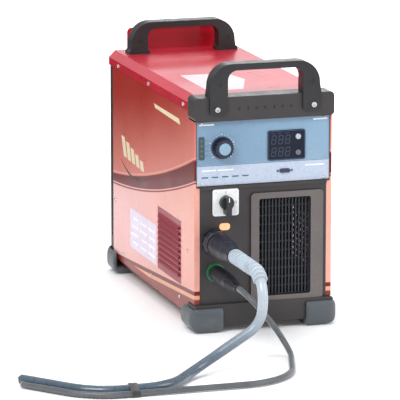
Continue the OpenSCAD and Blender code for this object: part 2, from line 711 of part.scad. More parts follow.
// half of a pitched blade: slab from z0 of the given height, kept inside the z span
module half_blade(z0, height, z) intersection() {
    translate([26, fan_y0 + 20.5, 0]) rotate([38, 0, 0])
        translate([0, 0, z0]) cube([fan_r - 24, 2.2, height]);
    box([26, fan_r + 10], [fan_y0 + 9, fan_y0 + 32], z);
    ycyl(fan_r, fan_y0, fan_y0 + 60, [0, 0], 72);
}
module fan_rotor() color("#3a3d40") difference() {
    union() {
        ycyl(32, fan_y0 + 8, fan_y0 + 33, fan_at, 64);
        around(fan_at, [for (i = [0:blade_count - 1]) i * 360 / blade_count]) {
            half_blade(0, 200, [-10, 42]);
            half_blade(-200, 200.1, [-42, 10]);
        }
    }
    ycyl(4.06, fan_y0 + 7, fan_y0 + 31, fan_at, 32);
}
module fan_guard() color("#b8bcc0") difference() {
    union() {
        for (r = [14:12:74]) difference() {
            ycyl(r + 1.1, panel_out + 2, panel_out + 4.2, fan_at, 64);
            ycyl(r - 1.1, panel_out + 1, panel_out + 5, fan_at, 64);
        }
        around(fan_at, [45:90:315]) box([13, 114], [panel_out, panel_out + 2.1], [-1.3, 1.3]);
        for (p = fan_screws) ycyl(5, panel_out, panel_out + 2.1, p, 24);
    }
    for (p = fan_screws) ycyl(2.4, panel_out - 1, panel_out + 5, p, 24);
}

// ---------- air supply ----------
reg_x = reg_at[0];
reg_y = rear + 12;         // vertical axis of the filter regulator
reg_z = reg_at[1];
reg_axis = [reg_x, reg_y];
gauge_at = [reg_x, reg_z + 4];
gauge_y = reg_y + 24;      // back of the gauge case, which faces the rear
valve_y = -206;            // vertical axis of the solenoid valve
hose_start = panel_in - 14;

module air_regulator() color("#5b6066") difference() {
    union() {
        pull_y(reg_y - 21, reg_y + 21) pad(reg_at, [23, 22], 5);
        zcyl(18, reg_z + 21, reg_z + 38, reg_axis, 48);
        // outlet through the rear panel
        ycyl(11, panel_out + 0.1, reg_y - 20, reg_at, 6);
        ycyl(reg_hole_r - fit, hose_start, panel_out + 1, reg_at, 32);
        // inlet boss
        xcyl(11, reg_x - 27, reg_x - 22, [reg_y, reg_z], 32);
        // gauge stem
        ycyl(6, reg_y + 20, gauge_y, gauge_at, 24);
    }
    xcyl(5.72, reg_x - 28, reg_x - 12, [reg_y, reg_z], 48);
    zcyl(3, reg_z + 20, reg_z + 39, reg_axis, 32);
    zcyl(12, reg_z - 23, reg_z - 12, reg_axis, 32);
}
module regulator_knob() color("#1a1b1d") difference() {
    union() {
        zcyl(19, reg_z + 38.2, reg_z + 62, reg_axis, 48);
        for (a = [0:20:340]) translate([reg_x, reg_y, 0]) rotate([0, 0, a])
            zcyl(1.5, reg_z + 40, reg_z + 60, [18.6, 0], 24);
        zcyl(2.95, reg_z + 24, reg_z + 38.3, reg_axis, 32);
    }
    zcyl(9, reg_z + 59, reg_z + 63, reg_axis, 32);
}
module filter_bowl() color([0.8, 0.85, 0.9, 0.5]) difference() {
    union() {
        zcyl(18, reg_z - 78, reg_z - 22.1, reg_axis, 48);
        zcyl(20, reg_z - 30, reg_z - 22.1, reg_axis, 48);
        zcyl(5, reg_z - 90, reg_z - 77.9, reg_axis, 24);
    }
    zcyl(15.5, reg_z - 75, reg_z - 22, reg_axis, 48);
    zcyl(1.5, reg_z - 91, reg_z - 74, reg_axis, 24);
}
module pressure_gauge() color("#1d1e20") difference() {
    ycyl(20, gauge_y, gauge_y + 12, gauge_at, 64);
    ycyl(17.5, gauge_y + 4, gauge_y + 13, gauge_at, 64);
    ycyl(1.3, gauge_y + 1, gauge_y + 5, gauge_at, 24);
}
module gauge_needle() color("#c62828") union() {
    ycyl(2.4, gauge_y + 5.2, gauge_y + 7, gauge_at, 24);
    ycyl(1.22, gauge_y + 1.2, gauge_y + 5.3, gauge_at, 24);
    around(gauge_at, [45]) pull_y(gauge_y + 5.6, gauge_y + 6.4)
        polygon([[15, 0], [0, 1.2], [-5, 0.9], [-5, -0.9], [0, -1.2]]);
}
module gauge_lens() color([0.85, 0.9, 0.95, 0.35])
    ycyl(17.4, gauge_y + 9, gauge_y + 11, gauge_at, 64);

module solenoid_valve() {
    valve_x = torch_at[0];
    color("goldenrod") difference() {
        box([valve_x - 15, valve_x + 15], [valve_y - 16, valve_y + 16], [155, 185]);
        ycyl(3, -223, -205, torch_at, 24);
        zcyl(3, 170, 186, [valve_x, valve_y], 24);
    }
    // coil, neck and electrical plug
    color("#202124") union() {
        box([valve_x - 14, valve_x + 14], [valve_y - 14, valve_y + 14], [121, 152]);
        zcyl(7, 150, 155, [valve_x, valve_y], 32);
        box([valve_x - 8, valve_x + 8], [-191.9, -180], [126, 146]);
    }
    // nipple to the torch socket
    color("goldenrod") difference() {
        ycyl(5, -249.9, -222, torch_at, 24);
        ycyl(3, -251, -221, torch_at, 24);
    }
}
module air_hose() color("#1d4f86") tube([
    [reg_x, hose_start - 0.1, reg_z], [reg_x, valve_y, reg_z], [reg_x, valve_y, 185.1]],
    [0, 50, 0], 5);

// ---------- rear connections ----------
hinge_at = [panel_out + 19, conn_at[1] + 17];   // hinge pin of the connector cap: y, z

module interface_connector() color("#26282b") difference() {
    union() {
        pull_y(panel_out, panel_out + 3) pad(conn_at, [20, 20], 3);
        ycyl(15, panel_out + 2.9, panel_out + 15.4, conn_at, 48);
        ycyl(conn_hole_r - fit, panel_out - 20, panel_out + 0.1, conn_at, 48);
        // hinge ears and pin for the cap
        for (x = [-8, 5]) box([conn_at[0] + x, conn_at[0] + x + 3],
            [panel_out + 2.9, panel_out + 22], [conn_at[1] + 14, conn_at[1] + 20]);
        xcyl(1.5, conn_at[0] - 6, conn_at[0] + 6, hinge_at, 24);
    }
    // face recess, less seven holes round three
    difference() {
        ycyl(12.8, panel_out + 5, panel_out + 17, conn_at, 48);
        // these stay solid, as pins in the recess
        around(conn_at, [for (i = [0:6]) i * 360 / 7])
            ycyl(0.9, panel_out + 4, panel_out + 13, [8.5, 0], 24);
        around(conn_at, [0, 120, 240]) ycyl(0.9, panel_out + 4, panel_out + 13, [3.6, 0], 24);
    }
}
module connector_cap() color("#2f3236") difference() {
    union() {
        ycyl(16.5, panel_out + 16.3, panel_out + 20, conn_at, 48);
        xcyl(3.4, conn_at[0] - 4.7, conn_at[0] + 4.7, hinge_at, 24);
    }
    xcyl(1.56, conn_at[0] - 6, conn_at[0] + 6, hinge_at, 24);
    // clearance for the ears
    both_about(conn_at[0]) {
        box([4.7, 9], [panel_out + 10, panel_out + 25], [conn_at[1] + 13.6, conn_at[1] + 22]);
        xcyl(4.6, 4.7, 9, hinge_at, 32);
    }
}
module cable_gland() color("#1c1d1f") difference() {
    union() {
        ycyl(20, panel_out, panel_out + 8, gland_at, 6);
        ycyl(gland_hole_r - fit, panel_in - 12, panel_out + 0.1, gland_at, 32);
        ycyl(20, panel_in - 8, panel_in, gland_at, 6);
        ycyl(17.5, panel_out + 7.9, panel_out + 26, gland_at, 48);
        ycone(17.5, 11, panel_out + 25.9, panel_out + 35.9, gland_at);
    }
    ycyl(mains_r + 0.3, panel_in - 13, panel_out + 40, gland_at, 32);
}
mains_z = floor_z + mains_r;
mains_path = [
    [gland_at[0], panel_in - 30, gland_at[1]],
    [gland_at[0], rear + 56, gland_at[1]],
    [100, rear + 50, mains_z],
    [-10, rear + 50, mains_z]];
module mains_lead() color("#17181a") tube(mains_path, [0, 40, 44, 0], mains_r);

// ---------- inside ----------
divider_y = [-246, 222];
sink_x = -68;              // face of the primary heatsink that carries the modules
board_x = -88;             // face of the power board toward the modules
module_places = [-100, 0, 100];   // y
primary_y = [-130, 170];
secondary_y = [-110, 170];

module divider_panel() color("#b9bdc2") difference() {
    union() {
        box([-1, 1], divider_y, [4.2, 430]);
        box([-1, 16], divider_y, [2.2, 4.3]);
    }
    for (y = [-160, 60]) pull_x(-2, 2) rrect([y, y + 70], [330, 390], 10);
}
module primary_heatsink() color("silver") union() {
    box([sink_x, -60], primary_y, [95, 235]);
    for (i = [0:9]) box([-60.1, -8], primary_y, [96 + i * 15, 98.5 + i * 15]);
}
module power_modules() color("#2a2a2c") for (y = module_places) union() {
    box([sink_x - 16, sink_x], [y - 24, y + 24], [112, 206]);
    for (z = [125, 160, 193]) xcyl(4, board_x + 0.1, sink_x - 15.9, [y, z], 24);
}
module power_board() color("darkgreen") union() {
    box([board_x - 1.8, board_x], [-140, 180], [90, 305]);
    for (y = module_places) color("black")
        box([-104, board_x - 1.7], [y - 20, y + 20], [100, 116]);
}
module bus_capacitors() color("#1e3a66")
    for (y = [-100:50:150]) xcyl(20, -134, board_x - 1.9, [y, 270], 32);
module secondary_heatsink() color("silver") union() {
    box([1.1, 9], secondary_y, [150, 250]);
    for (i = [0:7]) box([8.9, 52], secondary_y, [151 + i * 13.8, 153.5 + i * 13.8]);
}
module transformer() {
    // core with two windows
    color("#4b4f55") difference() {
        box([40, 100], [20, 130], [6, 92]);
        box([39, 101], [36, 60], [22, 76]);
        box([39, 101], [90, 114], [22, 76]);
    }
    // winding round the middle limb
    color("#b87333") difference() {
        pull_x(30, 110) rrect([38, 112], [24, 74], 6);
        pull_x(29, 111) rrect([59.8, 90.2], [21, 77], 1);
        box([39.8, 100.2], [20, 130], [21, 23.9]);
    }
    // feet
    color("#3c3f44") for (y = [22, 112]) box([36, 104], [y, y + 16], [2.2, 6]);
}
choke_centre = [72, -90, 76];
choke_r = 42;              // mean radius of the core
choke_turns = 14;
module output_choke() {
    color("#3d4046") translate(choke_centre) rotate([0, 90, 0])
        rotate_extrude($fn = 64) translate([choke_r, 0]) square([34, 34], center = true);
    color("#b87333") translate(choke_centre) for (i = [0:choke_turns - 1])
        rotate([i * 360 / choke_turns, 0, 0]) translate([0, 0, choke_r]) difference() {
            cube([42, 6, 42], center = true);
            cube([34.1, 7, 34.4], center = true);
        }
}
chip_places = [[-110, 300], [-60, 300], [-10, 340], [60, 300]];   // y, z
module control_board() {
    color("darkgreen") box([20, 21.6], [-150, 150], [270, 400]);
    color("black") for (p = chip_places) box([21.5, 27], [p[0], p[0] + 30], [p[1], p[1] + 24]);
    // connectors
    color("white") for (y = [-130, -70, 0, 70]) box([21.5, 33], [y, y + 40], [384, 396]);
    // standoffs from the divider
    color("gold") for (y = [-140, 140], z = [280, 392]) xcyl(3, 1.1, 20.1, [y, z], 6);
}

// ---------- fasteners ----------
// screw on the +X side, with its head outside x
module cover_screw(x, at) {
    xcyl(4, x, x + 2.4, at, 24);
    xcyl(1.95, x - 8, x + 0.1, at, 24);
}
module handle_bolts() {
    both() union() {
        ycyl(5.5, front_handle_y - 3.8, front_handle_y, lug_bolt, 24);
        ycyl(3, front_handle_y - 0.1, bar_y + 14, lug_bolt, 24);
    }
    for (p = rear_handle_bolts) union() {
        zcyl(2.5, case_h - 8, case_h + 18, p, 24);
        zcyl(5, case_h - sheet - 5, case_h - sheet, p, 6);
    }
}
module control_panel_screws() for (p = panel_screws) union() {
    ycyl(3.2, front + 0.4, front + 2, p, 24);
    ycyl(1.7, front + 1.9, front + 9, p, 24);
}
module boot_bolts() both() for (p = foot_bolts) union() {
    zcyl(6, floor_z + 1.5, floor_z + 6, p, 24);
    zcyl(3, floor_z + 5.9, 9, p, 24);
}
module guard_bolts() both() union() {
    ycyl(5, rear + 1.7, rear + 4.5, guard_bolt, 24);
    ycyl(2.1, rear - 4.8, rear + 1.8, guard_bolt, 24);
}
module fan_bolts() for (p = fan_screws) union() {
    ycyl(4, panel_out + 2.1, panel_out + 4.5, p, 24);
    ycyl(2.2, fan_y0 - 3, panel_out + 2.2, p, 24);
}
module fasteners() color("#8d9196") {
    both() for (s = flange_screws) cover_screw(side + 1.6, s);
    both() for (s = side_screws) cover_screw(side, s);
    handle_bolts();
    control_panel_screws();
    boot_bolts();
    guard_bolts();
    fan_bolts();
}

base_tray();
side_cover_left();
side_cover_right();
top_cover();
rear_guard();
front_bezel();
rear_bezel();
rear_panel();
front_handle();
rear_handle();
corner_feet();
control_panel();
display_window();
display_board();
status_lights();
current_knob();
knob_cap();
potentiometer();
upper_button();
lower_button();
mode_button();
switch_plate();
switch_knob();
switch_body();
pilot_lamp();
front_grille();
torch_socket();
torch_plug();
torch_lock_ring();
torch_strain_relief();
torch_lead();
work_socket();
work_plug();
work_lead();
lead_strap();
fan_frame();
fan_rotor();
fan_guard();
air_regulator();
regulator_knob();
filter_bowl();
pressure_gauge();
gauge_needle();
gauge_lens();
interface_connector();
connector_cap();
cable_gland();
mains_lead();
divider_panel();
primary_heatsink();
power_modules();
power_board();
bus_capacitors();
secondary_heatsink();
transformer();
output_choke();
control_board();
solenoid_valve();
air_hose();
fasteners();
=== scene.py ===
"""A portable torch power unit: red sheet case on rubber corner boots, torch and work leads
in front, fan, air regulator and mains lead behind.

Metres. The front looks along -y, +x is to the right seen from the front, +z is up.
The CAD nodes get finishes and softened edges; the pieces built here replace or add to them.
"""
import bpy
import bmesh
import math
import random
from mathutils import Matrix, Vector


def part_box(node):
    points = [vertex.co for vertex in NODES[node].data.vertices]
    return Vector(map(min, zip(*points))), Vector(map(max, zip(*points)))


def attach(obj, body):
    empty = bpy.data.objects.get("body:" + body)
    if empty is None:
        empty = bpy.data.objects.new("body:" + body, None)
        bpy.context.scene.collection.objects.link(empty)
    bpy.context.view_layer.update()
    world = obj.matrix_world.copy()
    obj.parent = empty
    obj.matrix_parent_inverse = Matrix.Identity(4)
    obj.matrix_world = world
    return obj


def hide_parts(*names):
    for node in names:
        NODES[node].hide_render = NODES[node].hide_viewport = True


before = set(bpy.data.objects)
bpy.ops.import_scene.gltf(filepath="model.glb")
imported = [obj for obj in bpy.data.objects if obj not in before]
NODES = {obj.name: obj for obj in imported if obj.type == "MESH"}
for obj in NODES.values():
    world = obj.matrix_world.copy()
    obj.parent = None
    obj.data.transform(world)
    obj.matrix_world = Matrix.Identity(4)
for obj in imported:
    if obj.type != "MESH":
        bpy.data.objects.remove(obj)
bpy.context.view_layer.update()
random.seed(7)
MM = 0.001
PI = math.pi


# ------------------------------------------------------------------ places, from the CAD nodes
def middle(node):
    low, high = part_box(node)
    return (low + high) / 2


def centre_xz(node):
    """Centre of a node, dropped to y = 0."""
    centre = middle(node)
    return Vector((centre.x, 0, centre.z))


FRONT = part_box("control_panel")[0].y - 2 * MM       # front face plane
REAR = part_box("rear_bezel")[1].y                    # rear face plane
REAR_SHEET = REAR - 0.024                           # outer face of the rear sheet panel
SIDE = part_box("base_tray")[1].x + 1.6 * MM          # outer face of the side covers
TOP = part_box("top_cover")[1].z
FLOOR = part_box("corner_feet")[0].z
TORCH = centre_xz("torch_lock_ring")
WORK = centre_xz("work_socket")
KNOB = centre_xz("knob_cap")
DISPLAY = centre_xz("display_window")
SWITCH = centre_xz("switch_plate")
FAN = centre_xz("fan_guard")
GAUGE = centre_xz("pressure_gauge")

# ------------------------------------------------------------------ shader kit
MATERIALS = {}


def shade(color, factor, lift=0.0):
    """The colour raised by lift, then scaled, with full alpha."""
    return tuple(min(1.0, (x + lift) * factor) for x in color[:3]) + (1.0,)


class Shader:
    """A new material with a Principled shader, and helpers that add nodes to it."""

    def __init__(self, name):
        material = bpy.data.materials.new(name)
        material.use_nodes = True
        self.tree = material.node_tree
        self.tree.nodes.clear()
        output = self.add("OutputMaterial")
        self.principled = self.add("BsdfPrincipled")
        self.feed(output.inputs[0], self.principled.outputs[0])
        self.position = self.add("TexCoord").outputs["Object"]
        MATERIALS[name] = material

    def feed(self, socket, value):
        """Link an output socket to the input, or set the input to a plain value."""
        if isinstance(value, bpy.types.NodeSocket):
            self.tree.links.new(value, socket)
        else:
            socket.default_value = value

    def add(self, kind, inputs=None, **settings):
        node = self.tree.nodes.new("ShaderNode" + kind)
        for key, value in settings.items():
            setattr(node, key, value)
        for key, value in (inputs or {}).items():
            self.feed(node.inputs[key], value)
        return node

    def surface(self, **inputs):
        """Set inputs of the Principled shader, with _ for each space in their names."""
        for key, value in inputs.items():
            self.feed(self.principled.inputs[key.replace("_", " ")], value)

    def noise(self, scale, detail=3.0, rough=0.55, warp=0.0, vector=None):
        inputs = {"Scale": scale, "Detail": detail, "Roughness": rough, "Distortion": warp,
                  "Vector": self.position if vector is None else vector}
        return self.add("TexNoise", inputs).outputs["Fac"]

    def cells(self, scale):
        inputs = {"Scale": scale, "Vector": self.position}
        return self.add("TexVoronoi", inputs).outputs["Distance"]

    def ramp(self, value, span, to=(0.0, 1.0)):
        """Smooth step that takes span to to."""
        keys = ("Value", "From Min", "From Max", "To Min", "To Max")
        inputs = dict(zip(keys, (value, *span, *to)))
        return self.add("MapRange", inputs, interpolation_type="SMOOTHSTEP").outputs["Result"]

    def patches(self, scale, detail, span, to=(0.0, 1.0), rough=0.55):
        """Noise through a ramp."""
        return self.ramp(self.noise(scale, detail, rough), span, to)

    def math(self, operation, first, second):
        return self.add("Math", {0: first, 1: second}, operation=operation).outputs[0]

    def times(self, first, second):
        return self.math("MULTIPLY", first, second)

    def plus(self, first, second):
        return self.math("ADD", first, second)

    def minus(self, first, second):
        return self.math("SUBTRACT", first, second)

    def absolute(self, value):
        return self.add("Math", {0: value}, operation="ABSOLUTE").outputs[0]

    def mix(self, amount, under, over, mode="MIX"):
        inputs = {0: amount, 6: under, 7: over}
        return self.add("Mix", inputs, data_type="RGBA", blend_type=mode).outputs[2]

    def split(self, vector):
        return self.add("SeparateXYZ", {0: vector}).outputs

    def stretched(self, scale):
        return self.add("Mapping", {"Scale": scale, 0: self.position}).outputs[0]

    def rubbed(self, radius, scale, span):
        """Mask of the edges, broken up by noise."""
        rounded = self.add("Bevel", {"Radius": radius}, samples=4).outputs[0]
        normal = self.add("NewGeometry").outputs["Normal"]
        facing = self.add("VectorMath", {0: rounded, 1: normal}, operation="DOT_PRODUCT")
        edge = self.ramp(facing.outputs["Value"], span=(0.995, 0.9))
        return self.times(edge, self.patches(scale=scale, detail=4, span=span))

    def dust(self, amount, tilt, lift, **patches):
        """Patchy dust mask, thicker by lift on faces that look up further than tilt."""
        normal = self.add("NewGeometry").outputs["Normal"]
        upward = self.ramp(self.split(normal)[2], span=(tilt, 0.95))
        cover = self.plus(self.times(upward, lift), 0.05)
        return self.times(self.times(cover, self.patches(**patches)), amount * 0.5)

    def bump(self, height, distance, strength):
        inputs = {"Strength": strength, "Distance": distance, "Height": height}
        return self.add("Bump", inputs).outputs[0]


def paint(name, color, rough=0.30, dust=0.5, coat=0.7, specular=0.5, pattern=None):
    mat = Shader(name)
    broad = mat.patches(scale=3.5, detail=2, span=(0.35, 0.65))
    if pattern:
        tone = mat.mix(broad, (0.95, 0.95, 0.95, 1), (1.04, 1.04, 1.04, 1))
        base = mat.mix(1.0, pattern(mat), tone, "MULTIPLY")
    else:
        base = mat.mix(broad, shade(color, 0.93), shade(color, 1.06))
    specks = mat.patches(scale=90, detail=1, span=(0.3, 0.7), to=(0.0, 0.06))
    base = mat.mix(specks, base, shade(color, 0.6))
    dusty = mat.dust(dust, tilt=0.2, lift=0.16, scale=9, detail=3, rough=0.5, span=(0.42, 0.80))
    base = mat.mix(dusty, base, (0.62, 0.55, 0.52, 1))
    sheen = mat.patches(scale=12, detail=1, span=(0.25, 0.75), to=(rough - 0.03, rough + 0.04))
    mat.surface(
        Base_Color=base,
        Roughness=mat.plus(sheen, mat.times(dusty, 0.8)),
        Specular_IOR_Level=specular,
        Coat_Weight=coat,
        Coat_Roughness=0.09,
        Normal=mat.bump(mat.noise(scale=150, detail=0), distance=0.00005, strength=0.30),
        Coat_Normal=mat.bump(mat.noise(scale=120, detail=0), distance=0.00004, strength=0.25))


def plastic(name, color, rough=0.5, grain=1400, depth=0.00006, vary=0.12, dust=0.25,
            specular=0.5, coat=0.0, wear=0.5):
    """grain and depth are the scale and height of the moulded texture."""
    mat = Shader(name)
    dark = shade(color, 1 - vary)
    base = mat.mix(mat.patches(scale=9, detail=4, span=(0.3, 0.7)), dark, shade(color, 1 + vary))
    specks = mat.patches(scale=300, detail=3, span=(0.35, 0.7), to=(0.0, 0.5))
    base = mat.mix(specks, base, dark)
    dusty = mat.dust(dust, tilt=0.1, lift=0.22, scale=26, detail=4, span=(0.40, 0.80))
    base = mat.mix(dusty, base, (0.45, 0.42, 0.38, 1))
    rub = mat.rubbed(radius=0.001, scale=90, span=(0.4, 0.62))
    base = mat.mix(mat.times(rub, wear * 0.5), base, shade(color, 2.2, lift=0.03))
    sheen = mat.patches(scale=40, detail=4, span=(0.3, 0.7), to=(rough - 0.07, rough + 0.07))
    texture = mat.plus(mat.cells(grain), mat.noise(scale=grain * 0.55, detail=3))
    mat.surface(
        Base_Color=base,
        Roughness=mat.plus(sheen, mat.times(rub, -0.12)),
        Specular_IOR_Level=specular,
        Normal=mat.bump(texture, distance=depth, strength=0.8))
    if coat:
        mat.surface(Coat_Weight=coat, Coat_Roughness=0.12)


def metal(name, color, rough=0.3, brushed=None, vary=0.1, rust=0.0, metallic=1.0):
    """brushed is the noise scale along x, y and z."""
    mat = Shader(name)
    if brushed:
        grain = mat.noise(scale=1.0, detail=4, rough=0.6, vector=mat.stretched(brushed))
    else:
        grain = mat.noise(scale=220, detail=4, rough=0.6)
    tone = mat.ramp(grain, span=(0.3, 0.7))
    base = mat.mix(tone, shade(color, 1 - vary), shade(color, 1 + vary))
    stain = mat.patches(scale=35, detail=5, span=(0.5, 0.8), to=(0.0, 0.35))
    base = mat.mix(stain, base, shade(color, 0.7))
    if rust:
        spots = mat.patches(scale=75, detail=5, span=(0.6, 0.72), to=(0.0, rust))
        base = mat.mix(spots, base, (0.2, 0.08, 0.04, 1))
    mat.surface(
        Base_Color=base,
        Metallic=metallic,
        Roughness=mat.ramp(grain, span=(0.25, 0.75), to=(rough - 0.08, rough + 0.12)),
        Normal=mat.bump(grain, distance=0.00004, strength=0.35))


def rubber(name, color, rough=0.55, sheen=0.2, fade=None, dust=0.4, coat=0.0):
    """fade is the span of heights over which the colour pales."""
    mat = Shader(name)
    tone = mat.patches(scale=30, detail=5, span=(0.3, 0.7))
    base = mat.mix(tone, shade(color, 0.88), shade(color, 1.12))
    if fade:
        height = mat.ramp(mat.split(mat.position)[2], span=fade, to=(0.0, 0.9))
        mottle = mat.patches(scale=26, detail=4, span=(0.3, 0.7))
        pale = mat.mix(mottle, (0.40, 0.46, 0.52, 1), (0.46, 0.52, 0.58, 1))
        base = mat.mix(height, base, pale)
    dusty = mat.patches(scale=11, detail=6, rough=0.65, span=(0.5, 0.78))
    base = mat.mix(mat.times(dusty, 0.35 * dust), base, (0.40, 0.38, 0.35, 1))
    rub = mat.rubbed(radius=0.0015, scale=120, span=(0.42, 0.62))
    base = mat.mix(mat.times(rub, 0.3), base, shade(color, 1.8, lift=0.04))
    streaks = mat.noise(scale=1.0, detail=2, rough=0.5, warp=1.5,
                        vector=mat.stretched((500, 30, 500)))
    scuffs = mat.ramp(streaks, span=(0.62, 0.68), to=(0.0, 0.12))
    base = mat.mix(scuffs, base, shade(color, 1.5, lift=0.02))
    texture = mat.plus(mat.noise(scale=900, detail=3), mat.noise(scale=120, detail=2))
    mat.surface(
        Base_Color=base,
        Roughness=mat.patches(scale=60, detail=4, span=(0.3, 0.7),
                              to=(rough - 0.08, rough + 0.1)),
        Sheen_Weight=sheen,
        Sheen_Roughness=0.4,
        Normal=mat.bump(texture, distance=0.00008, strength=0.7))
    if coat:
        mat.surface(Coat_Weight=coat, Coat_Roughness=0.2)


def between(mat, value, low, high, edge=0.0006):
    """Mask that is 1 from low to high, with soft edges."""
    return mat.times(mat.ramp(value, span=(low - edge, low + edge)),
                     mat.ramp(value, span=(high + edge, high - edge)))


def side_print_and_painted_light(mat):
    """Painted reflection: deep red above, lightening towards a sweeping dark printed band, and
    paler red below. Painted shade round the louvres, and painted shade and highlight along the
    foot.
    """
    _, y, z = mat.split(mat.position)
    # height above the curved middle line of the band
    line = mat.plus(mat.plus(mat.times(y, -0.208), 0.232), mat.times(mat.times(y, y), 0.216))
    height = mat.minus(z, line)
    # painted reflection: deep red high up, lighter near the band
    upper = mat.mix(mat.ramp(height, span=(0.20, 0.01)),
                    (0.34, 0.026, 0.018, 1), (0.62, 0.200, 0.160, 1))
    # painted reflection: paler red below the band, pinker towards the rear
    lower = mat.mix(mat.ramp(y, span=(-0.25, 0.25)),
                    (0.76, 0.36, 0.29, 1), (0.76, 0.42, 0.40, 1))
    # stripes along the foot, rising towards the front: a dark line of painted shade at the fold,
    # a pale stripe of painted highlight under it, then darker brownish red down to the bottom
    # edge
    foot = mat.minus(z, mat.plus(mat.times(y, -0.072), 0.0435))
    for span, color in (((0.0050, 0.0035), (0.16, 0.010, 0.010, 1)),
                        ((-0.0035, -0.0050), (0.74, 0.36, 0.22, 1)),
                        ((-0.0110, -0.0140), (0.24, 0.040, 0.028, 1))):
        lower = mat.mix(mat.ramp(foot, span=span), lower, color)
    color = mat.mix(mat.ramp(height, span=(0.0, -0.006)), upper, lower)
    # the band, wider towards the front
    half_width = mat.plus(mat.times(y, -0.022), 0.0145)
    outside = mat.minus(mat.absolute(height), half_width)
    color = mat.mix(mat.ramp(outside, span=(0.0006, -0.0006)), color, (0.135, 0.010, 0.011, 1))
    # a thin pale rim above the band and a thin dark stripe below it
    rim = mat.absolute(mat.minus(outside, 0.0042))
    for across, side, line_color in (
            ((0.0012, 0.0004), (0.004, 0.006), (0.80, 0.42, 0.34, 1)),
            ((0.0022, 0.0012), (-0.004, -0.006), (0.24, 0.012, 0.012, 1))):
        mask = mat.times(mat.ramp(rim, span=across), mat.ramp(height, span=side))
        color = mat.mix(mask, color, line_color)
    # painted shade over the louvres: the whole louvre area is darkened
    louvres = mat.times(between(mat, y, low=-0.211, high=-0.049),
                        between(mat, z, low=0.064, high=0.194))
    return mat.mix(louvres, color, (0.26, 0.018, 0.032, 1))


def control_panel_blue():
    mat = Shader("panel_blue")
    x, _, z = mat.split(mat.position)
    strip = mat.ramp(z, span=(0.3235, 0.3195))      # pale printed strip along the bottom
    blue = mat.mix(mat.patches(scale=7, detail=3, span=(0.3, 0.7)),
                   (0.135, 0.240, 0.360, 1), (0.165, 0.275, 0.395, 1))
    paler = mat.mix(0.5, blue, (0.22, 0.36, 0.49, 1))
    blue = mat.mix(mat.ramp(x, span=(-0.14, 0.14)), blue, paler)
    base = mat.mix(strip, blue, (0.43, 0.49, 0.60, 1))
    specks = mat.patches(scale=240, detail=3, span=(0.4, 0.7), to=(0.0, 0.25))
    base = mat.mix(specks, base, (0.20, 0.30, 0.40, 1))
    dusty = mat.patches(scale=16, detail=6, rough=0.65, span=(0.5, 0.75))
    base = mat.mix(mat.times(dusty, 0.10), base, (0.5, 0.48, 0.45, 1))
    mat.surface(
        Base_Color=base,
        Roughness=mat.patches(scale=35, detail=4, span=(0.3, 0.7), to=(0.26, 0.40)),
        Coat_Weight=0.35,
        Coat_Roughness=0.15,
        Normal=mat.bump(mat.noise(scale=500, detail=0), distance=0.00002, strength=0.3))


def lamp_orange():
    mat = Shader("lamp_orange")
    facets = 420                                    # scale of the lens pattern
    tone = mat.ramp(mat.cells(facets), span=(0.2, 0.6))
    mat.surface(
        Base_Color=mat.mix(tone, (1.0, 0.36, 0.14, 1), (0.95, 0.52, 0.30, 1)),
        Roughness=mat.patches(scale=60, detail=3, span=(0.3, 0.7), to=(0.14, 0.24)),
        Transmission_Weight=0.25,
        Coat_Weight=0.8,
        Emission_Color=(1.0, 0.38, 0.15, 1.0),
        Emission_Strength=0.45,
        Normal=mat.bump(mat.cells(facets), distance=0.0002, strength=0.7))


def bowl_clear():
    mat = Shader("bowl_clear")
    tint = (0.88, 0.93, 0.96, 1)
    tone = mat.patches(scale=25, detail=4, span=(0.3, 0.7))
    mat.surface(
        Base_Color=mat.mix(tone, tint, shade(tint, 0.93)),
        Roughness=mat.patches(scale=50, detail=4, span=(0.3, 0.7), to=(0.04, 0.04 + 0.08)),
        Transmission_Weight=0.96,
        IOR=1.42,
        Normal=mat.bump(mat.noise(scale=120, detail=2), distance=0.00003, strength=0.3))


def strap_black():
    mat = Shader("strap_black")
    weave = mat.add("TexWave", {"Scale": 420, "Vector": mat.position},
                    bands_direction="DIAGONAL").outputs["Fac"]
    base = mat.mix(weave, (0.008, 0.008, 0.009, 1), (0.035, 0.035, 0.038, 1))
    lint = mat.patches(scale=50, detail=4, span=(0.5, 0.8), to=(0.0, 0.2))
    mat.surface(
        Base_Color=mat.mix(lint, base, (0.12, 0.11, 0.10, 1)),
        Roughness=0.85,
        Sheen_Weight=0.5,
        Normal=mat.bump(weave, distance=0.0003, strength=0.8))


# ------------------------------------------------------------------ materials
paint("red_paint", (0.50, 0.010, 0.030), dust=0.25, coat=0.5)
# the side covers carry print together with painted reflection, painted shade and a painted
# highlight
paint("red_side", (0.40, 0.020, 0.014), dust=0.2, coat=0.05, pattern=side_print_and_painted_light,
      specular=0.22)
paint("bright_red", (0.55, 0.008, 0.022), dust=0.25)
paint("tray_red", (0.26, 0.024, 0.014), rough=0.38, coat=0.1)
paint("dark_red", (0.22, 0.012, 0.012), dust=0.4)
plastic("black_moulding", (0.029, 0.025, 0.026), rough=0.46, dust=0.3)
plastic("frame_grey", (0.115, 0.098, 0.094), rough=0.40, dust=0.3)
plastic("handle_black", (0.012, 0.012, 0.013), rough=0.42, grain=1100, depth=0.00008, dust=0.35)
rubber("boot_rubber", (0.070, 0.082, 0.092), rough=0.5, dust=0.5)
plastic("window_dark", (0.003, 0.006, 0.018), rough=0.22, grain=90, depth=0.00001, dust=0.10,
        wear=0.1, specular=0.25)
plastic("board_green", (0.015, 0.11, 0.04), rough=0.35, grain=420, depth=0.00003, coat=0.3)
plastic("lamp_green", (0.03, 0.17, 0.08), rough=0.18, grain=200, depth=0.00001, coat=0.6)
plastic("lens_navy", (0.006, 0.035, 0.05), rough=0.15, grain=200, depth=0.00001, coat=0.6)
